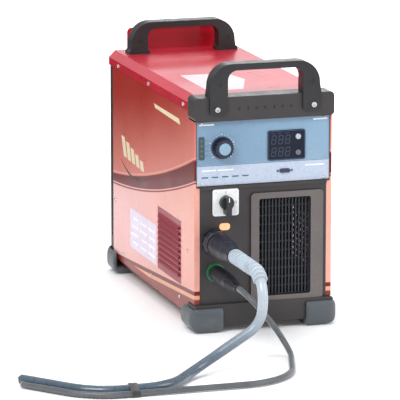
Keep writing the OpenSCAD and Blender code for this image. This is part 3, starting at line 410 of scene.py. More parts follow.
plastic("knob_dark", (0.010, 0.014, 0.035), rough=0.36, dust=0.3)
plastic("cap_blue", (0.23, 0.38, 0.50), rough=0.3, grain=600, depth=0.00002, wear=0.2)
metal("zinc", (0.60, 0.60, 0.58), rough=0.28)
metal("screw_dark", (0.10, 0.10, 0.11), rough=0.35, rust=0.15)
plastic("button_white", (0.38, 0.43, 0.50), rough=0.4, wear=0.1)
plastic("button_grey", (0.11, 0.13, 0.17), rough=0.4, wear=0.1)
plastic("button_navy", (0.02, 0.03, 0.07), rough=0.4)
plastic("plate_white", (0.74, 0.75, 0.76), rough=0.28, grain=500, depth=0.00002, wear=0.0,
        vary=0.03)
plastic("switch_black", (0.015, 0.016, 0.018), rough=0.35)
plastic("grille_black", (0.010, 0.012, 0.018), dust=0.8)
plastic("connector_dark", (0.014, 0.017, 0.025), rough=0.42)
rubber("relief_grey", (0.40, 0.46, 0.52), rough=0.45, dust=0.15)
rubber("torch_sheath", (0.050, 0.080, 0.112), rough=0.30, dust=0.12, sheen=0.1, coat=0.5,
       fade=(-0.01, 0.13))
rubber("plug_rubber", (0.005, 0.007, 0.018), rough=0.42, dust=0.08, sheen=0.03)
rubber("work_rubber", (0.006, 0.007, 0.014), rough=0.45, dust=0.08, sheen=0.03)
rubber("work_sheath", (0.085, 0.092, 0.100), rough=0.4, dust=0.3, coat=0.2)
plastic("socket_green", (0.012, 0.16, 0.045), rough=0.3, coat=0.3)
metal("chrome_wire", (0.68, 0.69, 0.70), rough=0.16)
metal("cast_grey", (0.20, 0.21, 0.23), rough=0.45, metallic=0.6)
plastic("needle_red", (0.55, 0.02, 0.015), rough=0.35, wear=0.0)
metal("sheet_zinc", (0.52, 0.53, 0.54), rough=0.35, vary=0.2)
metal("bare_aluminium", (0.66, 0.67, 0.69), rough=0.35, brushed=(900, 12, 900))
plastic("module_black", (0.015, 0.015, 0.016))
plastic("capacitor_blue", (0.02, 0.05, 0.19), rough=0.25, coat=0.4)
metal("core_grey", (0.10, 0.10, 0.11), rough=0.6, metallic=0.4)
metal("copper", (0.60, 0.28, 0.12), brushed=(60, 1400, 60))
metal("valve_brass", (0.60, 0.44, 0.18))
rubber("hose_blue", (0.012, 0.05, 0.19), rough=0.3, coat=0.3)
plastic("label_cream", (0.72, 0.62, 0.42), rough=0.4, wear=0.1, vary=0.04)
plastic("label_lilac", (0.62, 0.52, 0.66), rough=0.3, wear=0.05, vary=0.05, coat=0.3)
plastic("print_white", (0.80, 0.82, 0.84), rough=0.4, wear=0.0, vary=0.02, dust=0.1)
plastic("print_dark", (0.02, 0.03, 0.06), rough=0.4, wear=0.0, vary=0.02, dust=0.1)
plastic("seg_off", (0.018, 0.026, 0.055), rough=0.2, wear=0.0, vary=0.02, dust=0.0)
plastic("filter_white", (0.75, 0.74, 0.70), rough=0.8, grain=500, depth=0.0002, wear=0.0)
plastic("black_ink", (0.010, 0.010, 0.012), rough=0.35, wear=0.0, vary=0.02, dust=0.1)
plastic("label_pink", (0.62, 0.42, 0.45), rough=0.35, wear=0.0, vary=0.10, coat=0.1, dust=0.1)
plastic("ink_blue", (0.05, 0.11, 0.20), rough=0.4, wear=0.0, vary=0.02, dust=0.05)
plastic("chip_black", (0.012, 0.012, 0.013), rough=0.45, wear=0.1)
plastic("header_white", (0.70, 0.69, 0.64), wear=0.0)
plastic("dial_white", (0.82, 0.82, 0.80), wear=0.0, vary=0.02, dust=0.0)
rubber("sheath_inner", (0.35, 0.34, 0.30), rough=0.6, dust=0.1)
plastic("fan_black", (0.016, 0.016, 0.018), rough=0.4, coat=0.1)
control_panel_blue()
lamp_orange()
bowl_clear()
strap_black()


# ------------------------------------------------------------------ mesh kit
# A solid is a pair (vertices, faces).
def finish_mesh(mesh, crease):
    """Turn the normals outward and shade smooth, except over edges sharper than crease."""
    work = bmesh.new()
    work.from_mesh(mesh)
    bmesh.ops.recalc_face_normals(work, faces=work.faces)
    for face in work.faces:
        face.smooth = True
    for edge in work.edges:
        edge.smooth = not (len(edge.link_faces) == 2 and edge.calc_face_angle(0.0) > crease)
    work.to_mesh(mesh)
    work.free()
    mesh.update()


def new_object(name, mesh, material):
    obj = bpy.data.objects.new(name, mesh)
    bpy.context.scene.collection.objects.link(obj)
    mesh.materials.clear()
    mesh.materials.append(MATERIALS[material])
    return obj


def add_modifier(obj, name, kind, **settings):
    modifier = obj.modifiers.new(name, kind)
    for key, value in settings.items():
        setattr(modifier, key, value)


def piece(name, solids, material, body="unit", replaces=None, crease=35.0,
          bevel=0.0):
    """One object from several closed solids; crease is in degrees."""
    verts, faces = [], []
    for solid_verts, solid_faces in solids:
        base = len(verts)
        verts += [tuple(vert) for vert in solid_verts]
        faces += [tuple(i + base for i in face) for face in solid_faces]
    mesh = bpy.data.meshes.new(name)
    mesh.from_pydata(verts, [], faces)
    finish_mesh(mesh, math.radians(crease))
    obj = new_object(name, mesh, material)
    if bevel:
        add_modifier(obj, "bevel", "BEVEL", width=bevel, segments=1, limit_method="ANGLE",
                     angle_limit=math.radians(crease), harden_normals=True,
                     miter_outer="MITER_ARC")
    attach(obj, body)
    if replaces:
        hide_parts(replaces)


def basis(axis):
    """The unit axis and two directions across it."""
    along = Vector(axis).normalized()
    helper = Vector((0, 0, 1)) if abs(along.z) < 0.9 else Vector((1, 0, 0))
    across = along.cross(helper).normalized()
    return along, across, along.cross(across).normalized()


def circle(centre, across, up, radius, seg):
    """Points round a centre; the radius may be a function of the angle."""
    points = []
    for i in range(seg):
        angle = 2 * PI * i / seg
        reach = radius(angle) if callable(radius) else radius
        points.append(centre + (across * math.cos(angle) + up * math.sin(angle)) * reach)
    return points


def join_rings(rings, closed=False):
    """Faces between successive rings of vertex numbers; a ring of one is a pole."""
    pairs = list(zip(rings, rings[1:]))
    if closed:
        pairs.append((rings[-1], rings[0]))
    faces = []
    for near, far in pairs:
        count = max(len(near), len(far))
        for i in range(count):
            j = (i + 1) % count
            if len(near) == 1:
                faces.append((near[0], far[j], far[i]))
            elif len(far) == 1:
                faces.append((near[i], near[j], far[0]))
            else:
                faces.append((near[i], near[j], far[j], far[i]))
    return faces


def turned(profile, origin, axis, seg=48, closed=False):
    """Turned solid from (distance along axis, radius) pairs; a closed profile makes a ring."""
    along, across, up = basis(axis)
    verts, rings = [], []
    for distance, radius in profile:
        centre = Vector(origin) + along * distance
        points = [centre] if radius == 0 else circle(centre, across, up, radius, seg)
        rings.append(range(len(verts), len(verts) + len(points)))
        verts += points
    return verts, join_rings(rings, closed)


def path_frames(path):
    """Tangent and two directions across it at each point, without twist."""
    last = len(path) - 1
    tangents = [(path[min(last, i + 1)] - path[max(0, i - 1)]).normalized()
                for i in range(last + 1)]
    across = basis(tangents[0])[1]
    frames = []
    for tangent in tangents:
        across = (across - tangent * across.dot(tangent)).normalized()
        frames.append((tangent, across, tangent.cross(across)))
    return frames


def sweep(path, radii, seg, bore=None):
    """Cable along a path with chamfered ends or, given a bore radius, an open sleeve."""
    stations = list(zip(path, path_frames(path), radii))
    if bore is None:
        start, first, start_radius = stations[0]
        end, last, end_radius = stations[-1]
        stations[0] = (start + first[0] * start_radius * 0.12, first, start_radius)
        stations[-1] = (end - last[0] * end_radius * 0.12, last, end_radius)
        stations[:0] = [(start, first, start_radius * 0.45),
                        (start + first[0] * start_radius * 0.04, first, start_radius * 0.93)]
        stations.append((end, last, end_radius * 0.93))
    else:
        stations += [(point, turn, bore) for point, turn, _ in reversed(stations)]
    verts = []
    for point, (_, across, up), radius in stations:
        verts += circle(point, across, up, radius, seg)
    rings = [range(i * seg, (i + 1) * seg) for i in range(len(stations))]
    faces = join_rings(rings, closed=bore is not None)
    if bore is None:
        faces += [tuple(reversed(rings[0])), tuple(rings[-1])]
    return verts, faces


def rounded_path(corners, radii, step):
    """Evenly dense points along a polyline with rounded corners."""
    corners = [Vector(corner) for corner in corners]
    points = [corners[0].copy()]

    def line_to(target):
        start = points[-1]
        count = max(1, int((target - start).length / step))
        for i in range(1, count + 1):
            points.append(start.lerp(target, i / count))

    for before, corner, after, radius in zip(corners, corners[1:], corners[2:], radii[1:]):
        heading = (corner - before).normalized()
        leaving = (after - corner).normalized()
        turn = heading.angle(leaving)
        inward = (leaving - heading * heading.dot(leaving)).normalized()
        start = corner - heading * (radius * math.tan(turn / 2))
        centre = start + inward * radius
        line_to(start)
        count = max(4, int(radius * turn / step))
        for i in range(1, count + 1):
            angle = turn * i / count
            points.append(centre - inward * radius * math.cos(angle)
                          + heading * radius * math.sin(angle))
    line_to(corners[-1])
    return points


def rounded(x0, x1, z0, z1, radius, seg=3):
    """Outline of a rectangle with rounded corners."""
    points = []
    for x, z, start in ((x1 - radius, z1 - radius, 0), (x0 + radius, z1 - radius, 90),
                        (x0 + radius, z0 + radius, 180), (x1 - radius, z0 + radius, 270)):
        for i in range(seg + 1):
            angle = math.radians(start + 90 * i / seg)
            points.append((x + radius * math.cos(angle), z + radius * math.sin(angle)))
    return points


PLANES = {
    "xz": lambda point, depth: (point[0], depth, point[1]),
    "yz": lambda point, depth: (depth, point[0], point[1]),
    "xy": lambda point, depth: (point[0], point[1], depth),
}


def slab(outline, plane, depth0, depth1):
    """Solid with the outline lying in the plane, between two depths across it."""
    place = PLANES[plane]
    count = len(outline)
    verts = [place(point, depth) for depth in (depth0, depth1) for point in outline]
    faces = [tuple(range(count)), tuple(range(2 * count - 1, count - 1, -1))]
    faces += [(i, (i + 1) % count, count + (i + 1) % count, count + i) for i in range(count)]
    return verts, faces


def block(x0, x1, y0, y1, z0, z1):
    verts = [(x, y, z) for z in (z0, z1) for y in (y0, y1) for x in (x0, x1)]
    return verts, [(0, 2, 3, 1), (4, 5, 7, 6), (0, 1, 5, 4), (2, 6, 7, 3), (0, 4, 6, 2),
                   (1, 3, 7, 5)]


def steps(start, stop, step):
    values = []
    while start <= stop:
        values.append(start)
        start += step
    return values


def smooth(low, high, value):
    """Smooth step from 0 at low to 1 at high."""
    part = min(1, max(0, (value - low) / (high - low)))
    return part * part * (3 - 2 * part)


def ripple(distance, pitch):
    """Wave from 0 to 1 that starts at 0."""
    return 0.5 + 0.5 * math.cos(distance / pitch * 2 * PI + PI)


# ------------------------------------------------------------------ finishes of the CAD nodes
# node: (material, bevel width in mm)
FINISHES = {
    "base_tray": ("tray_red", 0.6),
    "side_cover_left": ("red_side", 0.45), "side_cover_right": ("red_side", 0.45),
    "top_cover": ("red_paint", 0.45), "rear_guard": ("bright_red", 0.45),
    "front_bezel": ("black_moulding", 1.0), "rear_bezel": ("black_moulding", 1.0),
    "rear_panel": ("red_paint", 0.4),
    "front_handle": ("handle_black", 4.5), "rear_handle": ("handle_black", 4.5),
    "corner_feet": ("boot_rubber", 3.0), "control_panel": ("panel_blue", 0.3),
    "display_window": ("window_dark", 0.35), "display_board": ("board_green", 0.2),
    "status_lights": ("lens_navy", 0.2), "current_knob": ("knob_dark", 0.5),
    "knob_cap": ("cap_blue", 0.4), "potentiometer": ("zinc", 0.2),
    "upper_button": ("button_white", 0.5), "lower_button": ("button_grey", 0.5),
    "mode_button": ("button_navy", 0.4), "switch_plate": ("plate_white", 0.6),
    "switch_knob": ("switch_black", 0.8), "switch_body": ("module_black", 0.5),
    "pilot_lamp": ("lamp_orange", 0.5), "front_grille": ("grille_black", 0.4),
    "torch_socket": ("connector_dark", 0.6), "torch_plug": ("plug_rubber", 0.6),
    "torch_lock_ring": ("connector_dark", 0.6), "torch_strain_relief": ("relief_grey", 0.5),
    "torch_lead": ("torch_sheath", 0.0), "work_socket": ("socket_green", 0.6),
    "work_plug": ("work_rubber", 0.6), "work_lead": ("work_sheath", 0.0),
    "lead_strap": ("strap_black", 0.3), "fan_frame": ("module_black", 0.8),
    "fan_rotor": ("module_black", 0.4), "fan_guard": ("chrome_wire", 0.3),
    "air_regulator": ("cast_grey", 1.0), "regulator_knob": ("connector_dark", 0.6),
    "filter_bowl": ("bowl_clear", 0.0), "pressure_gauge": ("connector_dark", 0.4),
    "gauge_needle": ("needle_red", 0.0), "gauge_lens": ("bowl_clear", 0.0),
    "interface_connector": ("connector_dark", 0.3), "connector_cap": ("connector_dark", 0.4),
    "cable_gland": ("connector_dark", 0.5), "mains_lead": ("work_sheath", 0.0),
    "divider_panel": ("sheet_zinc", 0.3), "primary_heatsink": ("bare_aluminium", 0.3),
    "power_modules": ("module_black", 0.6), "power_board": ("board_green", 0.3),
    "bus_capacitors": ("capacitor_blue", 1.0), "secondary_heatsink": ("bare_aluminium", 0.3),
    "transformer": ("core_grey", 0.6), "output_choke": ("core_grey", 0.5),
    "control_board": ("board_green", 0.3), "solenoid_valve": ("valve_brass", 0.5),
    "air_hose": ("hose_blue", 0.0), "fasteners": ("zinc", 0.3),
}
for node_name, (material_name, bevel_mm) in FINISHES.items():
    node = NODES[node_name]
    node.data.materials.clear()
    node.data.materials.append(MATERIALS[material_name])
    for polygon in node.data.polygons:
        polygon.material_index = 0
        polygon.use_smooth = True
    add_modifier(node, "weld", "WELD", merge_threshold=1e-6)
    add_modifier(node, "flat", "DECIMATE", decimate_type="DISSOLVE",
                 angle_limit=math.radians(0.4))
    if bevel_mm:
        add_modifier(node, "bevel", "BEVEL", width=bevel_mm * MM, segments=2,
                     limit_method="ANGLE", angle_limit=math.radians(38),
                     use_clamp_overlap=True, harden_normals=False)
    add_modifier(node, "normals", "WEIGHTED_NORMAL", mode="FACE_AREA", weight=60,
                 keep_sharp=True)


# ------------------------------------------------------------------ screws
def hexagon(radius):
    """Radius of a hexagon as a function of the angle."""
    flat = radius * math.cos(PI / 6)
    return lambda angle: flat / math.cos(angle % (PI / 3) - PI / 6)


def cross(length, width):
    """Radius of a cross as a function of the angle; both are half sizes."""
    def radius(angle):
        small, large = sorted((abs(math.cos(angle)), abs(math.sin(angle))))
        return length / large if small / large <= width / length else width / small
    return radius


# (height, radius) as parts of the head's height and radius, from the seat up
CROSS_HEAD = ((0, 0.95), (0.10, 1), (0.40, 0.985), (0.70, 0.88), (0.90, 0.70), (0.99, 0.56))
CROSS_RECESS = ((1, 0.50, 0.13), (0.62, 0.44, 0.11), (0.45, 0.20, 0.07))  # height, arm, width
HEX_HEAD = ((0, 0.96), (0.08, 1), (0.86, 1), (0.97, 0.94), (1, 0.84), (1, 0.64))
HEX_RECESS = ((0.95, 0.58), (0.42, 0.56), (0.38, 0.2))

# head radius, head height, shank radius, shank length, whether the recess is hexagonal
COVER_SCREW = (0.004, 0.0024, 0.00195, 0.008, False)
HANDLE_SCREW = (0.0055, 0.0038, 0.003, 0.018, True)
FOOT_SCREW = (0.006, 0.0045, 0.003, 0.018, True)
REAR_SCREW = (0.005, 0.0028, 0.0021, 0.0064, False)
PANEL_SCREW = (0.0032, 0.0016, 0.0017, 0.0068, False)
TOP_SCREW = (0.005, 0.005, 0.0025, 0.019, True)
FAN_SCREW = (0.004, 0.0024, 0.0021, 0.045, False)


def screw(origin, axis, size):
    """The origin is on the seat and the axis points out through the head."""
    head, height, shank, length, hexagonal = size
    profile = [(-length, 0.0), (-length, shank * 0.75), (-length + 0.0005, shank), (0.0, shank)]
    profile += [(height * up, head * out) for up, out in (HEX_HEAD if hexagonal else CROSS_HEAD)]
    if hexagonal:
        profile += [(height * up, hexagon(head * out)) for up, out in HEX_RECESS]
        profile.append((height * 0.36, 0.0))
    else:
        profile += [(height * up, cross(head * arm, head * width))
                    for up, arm, width in CROSS_RECESS]
        profile.append((height * 0.40, 0.0))
    return turned(profile, origin, axis)


screws = []
for side in (-1, 1):
    for y in (-0.230, 0.010, 0.230):
        screws.append(screw((side * (SIDE + 0.0016), y, 0.436), (side, 0, 0), COVER_SCREW))
    for y, z in ((-0.254, 0.143), (0.262, 0.143), (-0.200, 0.038), (0.0, 0.038),
                 (0.200, 0.038)):
        screws.append(screw((side * SIDE, y, z), (side, 0, 0), COVER_SCREW))
    screws.append(screw((side * 0.100, FRONT - 0.0132, 0.436), (0, -1, 0), HANDLE_SCREW))
    for y in (FRONT + 0.020, REAR - 0.014):
        screws.append(screw((side * 0.118, y, FLOOR + 0.006), (0, 0, -1), FOOT_SCREW))
    screws.append(screw((side * 0.062, REAR + 0.0017, 0.424), (0, 1, 0), REAR_SCREW))
    for z in (0.285, 0.4065):
        screws.append(screw((side * 0.1275, FRONT + 0.002, z), (0, -1, 0), PANEL_SCREW))
    for y in (REAR - 0.062, REAR - 0.040):
        screws.append(screw((side * 0.104, y, TOP - 0.0015), (0, 0, -1), TOP_SCREW))
    for rise in (-0.078, 0.078):
        seat = (FAN.x + side * 0.078, REAR_SHEET + 0.0021, FAN.z + rise)
        screws.append(screw(seat, (0, 1, 0), FAN_SCREW))
piece("fastener_set", screws, "zinc", replaces="fasteners", crease=30)

# ------------------------------------------------------------------ leads and air hose
TORCH_LEAD_Z = FLOOR + 0.011                        # centre lines where the leads lie down
WORK_LEAD_Z = FLOOR + 0.007
MAINS_LEAD_Z = FLOOR + 0.008
LEAD_GAP = 0.0165                                   # between the lines of the two front leads
LANE_Y = FRONT - 0.418                              # torch lead, where it runs along -x
LAST_BEND_X = -0.467
LAST_BEND_RADIUS = 0.110
TAIL_LENGTH = 0.170                                 # from the last corner to the cut end
TAIL = Vector((-0.629, 0.777, 0)).normalized()
MITRE = math.tan(Vector((-1, 0, 0)).angle(TAIL) / 2)
FIRST_BEND = 0.325                                  # torch lead's first corner, from FRONT
FIRST_BEND_RADIUS = 0.054

TORCH_CORNERS = [Vector(corner) for corner in (
    (TORCH.x, FRONT - 0.070, TORCH.z), (TORCH.x, FRONT - FIRST_BEND, TORCH.z),
    (-0.108, FRONT - 0.312, 0.074), (-0.240, FRONT - 0.315, TORCH_LEAD_Z),
    (-0.320, LANE_Y, TORCH_LEAD_Z), (LAST_BEND_X, LANE_Y, TORCH_LEAD_Z))]
TORCH_CORNERS.append(TORCH_CORNERS[5] + TAIL * TAIL_LENGTH)
torch_path = rounded_path(
    [TORCH_CORNERS[0] - Vector((0, 0.006, 0))] + TORCH_CORNERS[1:],
    [0, FIRST_BEND_RADIUS, 0.054, 0.110, 0.110, LAST_BEND_RADIUS, 0], 0.003)
work_bend = Vector((LAST_BEND_X - LEAD_GAP * MITRE, LANE_Y - LEAD_GAP, WORK_LEAD_Z))
work_path = rounded_path(
    [(WORK.x, FRONT - 0.070, WORK.z), (WORK.x, FRONT - 0.230, WORK.z),
     (-0.006, FRONT - 0.186, WORK_LEAD_Z), (-0.084, work_bend.y, WORK_LEAD_Z), work_bend,
     work_bend + TAIL * (TAIL_LENGTH - LEAD_GAP * MITRE)],
    [0, 0.045, 0.045, 0.130, LAST_BEND_RADIUS + LEAD_GAP, 0], 0.003)
gland = middle("cable_gland")
mains_path = rounded_path(
    [(gland.x, REAR_SHEET - 0.032, gland.z), (gland.x, REAR + 0.056, gland.z),
     (0.100, REAR + 0.050, MAINS_LEAD_Z), (-0.010, REAR + 0.050, MAINS_LEAD_Z)],
    [0, 0.040, 0.044, 0], 0.003)
REGULATOR_X = middle("air_regulator").x
hose_z = middle("pressure_gauge").z - 0.004
hose_path = rounded_path(
    [(REGULATOR_X, REAR_SHEET - 0.0161, hose_z), (REGULATOR_X, -0.206, hose_z),
     (REGULATOR_X, -0.206, TORCH.z + 0.0161)], [0, 0.050, 0], 0.004)


def lead(name, path, radius, material, replaces, seed, seg=28):
    """Round lead whose radius wanders slightly along its length."""
    wander = 0.00022
    draw = random.Random(seed)
    phases = [draw.uniform(0, 2 * PI) for _ in range(3)]
    radii = []
    for i in range(len(path)):
        run = i / 40.0
        wave = (math.sin(run * 2 * PI + phases[0]) * 0.5
                + math.sin(run * 5.3 + phases[1]) * 0.3
                + math.sin(run * 13.1 + phases[2]) * 0.2)
        radii.append(radius - wander + wander * wave)
    piece(name, [sweep(path, radii, seg)], material, replaces=replaces)


lead("torch_lead_sheath", torch_path, 0.010, "torch_sheath", "torch_lead", seed=3, seg=32)
lead("work_lead_sheath", work_path, 0.006, "work_sheath", "work_lead", seed=5)
lead("mains_lead_sheath", mains_path, 0.008, "work_sheath", "mains_lead", seed=9)
lead("air_hose_tube", hose_path, 0.005, "hose_blue", "air_hose", seed=13)


def cut_end(name, end, axis, cores):
    """Insulated cores, each with seven strands, at the cut end of a lead.

    cores: (offset across, offset up, radius, length) of each core
    """
    _, across, up = basis(axis)
    insulation, strands = [], []
    for shift_across, shift_up, radius, length in cores:
        centre = end + across * shift_across + up * shift_up
        insulation.append(turned(
            [(-0.004, 0.0), (-0.004, radius), (length - 0.0003, radius),
             (length, radius * 0.93), (length, radius * 0.74),
             (length - 0.0006, radius * 0.70), (length - 0.0006, 0.0)], centre, axis, 20))
        for i in range(7):
            angle = 2 * PI * i / 6
            reach = 0.0 if i == 6 else radius * 0.44
            strand = centre + across * (math.cos(angle) * reach) + up * (math.sin(angle) * reach)
            strands.append(turned(
                [(length - 0.003, 0.0), (length - 0.003, radius * 0.21),
                 (length + 0.0014, radius * 0.21), (length + 0.0018, radius * 0.14),
                 (length + 0.0018, 0.0)], strand, axis, 8))
    piece(name + "_cores", insulation, "sheath_inner")
    piece(name + "_strands", strands, "copper")


cut_end("torch_lead_end", torch_path[-1], TAIL,
        [(0, 0.0030, 0.0042, 0.003), (0.0048, -0.0040, 0.0023, 0.0025),
         (-0.0048, -0.0040, 0.0023, 0.0025)])
cut_end("work_lead_end", work_path[-1], TAIL, [(0, 0, 0.0046, 0.0025)])
cut_end("mains_lead_end", mains_path[-1], Vector((-1, 0, 0)),
        [(0.0026, 0.0026, 0.0023, 0.003), (-0.0026, 0.0026, 0.0023, 0.003),
         (0.0026, -0.0026, 0.0023, 0.003), (-0.0026, -0.0026, 0.0023, 0.003)])


# ------------------------------------------------------------------ strap round both leads
def belt(torch_radius, work_radius, seg=20):
    """Outline round both leads: x goes from torch to work lead, y up from the torch lead."""
    work = Vector((LEAD_GAP, WORK_LEAD_Z - TORCH_LEAD_Z))
    base = math.atan2(work.y, work.x)
    wrap = math.acos((torch_radius - work_radius) / work.length)
    points = []
    for i in range(seg + 1):
        angle = base + wrap + (2 * PI - 2 * wrap) * i / seg
        points.append(Vector((math.cos(angle), math.sin(angle))) * torch_radius)
    for i in range(seg + 1):
        angle = base - wrap + 2 * wrap * i / seg
        points.append(work + Vector((math.cos(angle), math.sin(angle))) * work_radius)
    return points


def strap():
    middle_x, middle_y = TORCH_CORNERS[4].x - 0.074, TORCH_CORNERS[4].y
    inner = belt(torch_radius=0.01005, work_radius=0.00605)
    outer = belt(torch_radius=0.0118, work_radius=0.0078)
    # (distance across the strap, how far the outside puffs out)
    columns = ((-0.008, 0.0), (-0.0076, 0.00035), (0.0076, 0.00035), (0.008, 0.0))
    verts, faces = [], []
    for shift, puff in columns:
        for point in outer:
            z = TORCH_LEAD_Z + point.y * (1 + puff / 0.012)
            verts.append((middle_x - shift, middle_y - point.x, max(z, FLOOR + 0.0002)))
        for point in inner:
            verts.append((middle_x - shift, middle_y - point.x, TORCH_LEAD_Z + point.y))
    count = len(inner)
    for column in range(len(columns) - 1):
        near = column * 2 * count
        far = near + 2 * count
        for i in range(count):
            j = (i + 1) % count
            faces.append((near + i, near + j, far + j, far + i))
            faces.append((near + count + i, far + count + i, far + count + j,
                          near + count + j))
    for column, flip in ((0, False), (len(columns) - 1, True)):
        start = column * 2 * count
        for i in range(count):
            j = (i + 1) % count
            face = (start + i, start + count + i, start + count + j, start + j)
            faces.append(tuple(reversed(face)) if flip else face)
    piece("lead_strap_band", [(verts, faces)], "strap_black", replaces="lead_strap", crease=40)


strap()


# ------------------------------------------------------------------ torch and work plugs
# profiles: (distance out from the front plane, radius)
def torch_plug():
    profile = [(-0.020, 0.0), (-0.020, 0.0125), (-0.0195, 0.0130), (0.0040, 0.0135),
               (0.0056, 0.0136), (0.0056, 0.0172), (0.0062, 0.0179), (0.0330, 0.0179),
               (0.0338, 0.0205), (0.0346, 0.0214), (0.0362, 0.0221)]
    for out in steps(0.038, 0.1395, 0.0008):
        radius = 0.0221 - 0.0002 * smooth(0.04, 0.09, out)
        if out > 0.092:
            radius = 0.0219 - 0.0059 * smooth(0.090, 0.142, out)
        rib = 0.0
        if 0.041 < out < 0.094:
            rib = 0.0011 * smooth(0.15, 0.75, ripple(out - 0.041, pitch=0.0088))
        if out > 0.128:
            rib += 0.0009 * smooth(0.128, 0.131, out)
        profile.append((out, radius + rib))
    profile += [(0.1402, 0.0163), (0.1406, 0.0154), (0.1404, 0.0116), (0.1396, 0.0108),
                (0.0765, 0.0106), (0.0760, 0.0)]
    piece("torch_plug_body", [turned(profile, (TORCH.x, FRONT, TORCH.z), (0, -1, 0), 72)],
          "plug_rubber", replaces="torch_plug", crease=50)


def torch_lock_ring():
    def knurled(depth):
        """Radius with twelve raised grips."""
        return lambda angle: 0.0246 + depth * max(0.0, math.cos(12 * angle)) ** 0.8

    profile = [(0.0082, 0.01835), (0.0082, 0.0232), (0.0086, 0.0240), (0.0096, 0.0244),
               (0.0108, knurled(0.0010)), (0.0122, knurled(0.0021)),
               (0.0258, knurled(0.0021)), (0.0272, knurled(0.0010)), (0.0282, 0.0244),
               (0.0292, 0.0238), (0.0296, 0.0228), (0.0296, 0.01835)]
    ring = turned(profile, (TORCH.x, FRONT, TORCH.z), (0, -1, 0), 144, closed=True)
    piece("torch_lock_ring_body", [ring], "connector_dark", body="torch_lock_ring",
          replaces="torch_lock_ring", crease=45)


def torch_strain_relief():
    """Ribbed sleeve from the plug into the first bend of the torch lead."""
    start = 0.140                                   # distance out from the front plane
    first, second, third = TORCH_CORNERS[:3]
    angle = (second - first).angle(third - second)
    straight = FIRST_BEND - start - FIRST_BEND_RADIUS * math.tan(angle / 2)
    length = straight + FIRST_BEND_RADIUS * math.radians(39.5) + 0.001
    path = rounded_path([(TORCH.x, FRONT - start, TORCH.z), second, third],
                        [0, FIRST_BEND_RADIUS, 0], 0.0009)
    points, radii, run = [], [], 0.0
    for i, point in enumerate(path):
        if i:
            run += (point - path[i - 1]).length
        if run > length:
            break
        rib = smooth(0.30, 0.62, 0.5 + 0.5 * math.sin(run / 0.0105 * 2 * PI - 0.8))
        points.append(point)
        radii.append(0.0110 + (0.0042 - 0.0012 * (run / length)) * rib)
    radii[:4] = [0.0148] * 4                        # plain collar against the plug
    radii[-1] -= 0.0006
    piece("torch_strain_relief_sleeve", [sweep(points, radii, 40, bore=0.0101)],
          "relief_grey", replaces="torch_strain_relief", crease=60)


def work_plug():
    profile = [(-0.020, 0.0), (-0.020, 0.0056), (-0.0190, 0.0063), (0.0052, 0.0064),
               (0.0053, 0.0145), (0.0059, 0.0153)]
    for out in steps(0.007, 0.1495, 0.0009):
        radius = 0.0155 if out < 0.088 else 0.0155 - 0.0067 * smooth(0.086, 0.150, out)
        rib = 0.0
        if 0.014 < out < 0.084:
            rib = 0.0010 * smooth(0.10, 0.60, ripple(out - 0.014, pitch=0.0100))
        if 0.100 < out < 0.142:
            rib = -0.0011 * smooth(0.55, 0.85, ripple(out - 0.100, pitch=0.0070))
        profile.append((out, radius + rib))
    profile += [(0.1500, 0.0084), (0.1502, 0.0078), (0.1500, 0.0066), (0.1490, 0.0063),
                (0.0705, 0.0062), (0.0700, 0.0)]
    piece("work_plug_body", [turned(profile, (WORK.x, FRONT, WORK.z), (0, -1, 0), 56)],
          "work_rubber", replaces="work_plug", crease=50)


torch_plug()
torch_lock_ring()
torch_strain_relief()
work_plug()


# ------------------------------------------------------------------ front grille screen
def grille_screen():
    """Mesh of fine bars close behind the grille."""
    low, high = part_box("front_grille")
    x0, x1, z0, z1 = low.x + 0.004, high.x - 0.004, low.z + 0.004, high.z - 0.006
    pitch, half = 0.0033, 0.00045
    bars = [block(x - half, x + half, FRONT + 0.0084, FRONT + 0.0092, z0, z1)
            for x in steps(x0, x1, pitch)]
    bars += [block(x0, x1, FRONT + 0.0090, FRONT + 0.0098, z - half, z + half)
             for z in steps(z0, z1, pitch)]
    piece("front_grille_screen", bars, "grille_black")


grille_screen()


# ------------------------------------------------------------------ fan guard and rotor
def wire_ring(centre, radius, wire, y, seg=96):
    profile = [(wire * math.cos(2 * PI * i / 10), radius + wire * math.sin(2 * PI * i / 10))
               for i in range(10)]
    return turned(profile, (centre.x, y, centre.z), (0, 1, 0), seg, closed=True)


def rod(start, end, radius):
    length = (end - start).length
    return turned([(0, 0.0), (0, radius * 0.8), (radius * 0.25, radius),
                   (length - radius * 0.25, radius), (length, radius * 0.8), (length, 0.0)],
                  start, end - start, 12)


def fan_guard():
    """Six wire rings on four diagonal spokes, each ending in a screw eye."""
    wire = 0.00105
    spoke_y = REAR_SHEET + 0.0011
    wires = [wire_ring(FAN, radius, 0.0011, REAR_SHEET + 0.0031)
             for radius in (0.014, 0.026, 0.038, 0.050, 0.062, 0.074)]
    centre = Vector((FAN.x, spoke_y, FAN.z))
    for i in range(4):
        angle = math.radians(45 + 90 * i)
        outward = Vector((math.cos(angle), 0, math.sin(angle)))
        wires.append(rod(centre + outward * 0.0135, centre + outward * 0.1055, wire))
        wires.append(wire_ring(centre + outward * 0.1103, 0.0048, wire, spoke_y, 32))
    piece("fan_guard_wires", wires, "chrome_wire", replaces="fan_guard", crease=60)


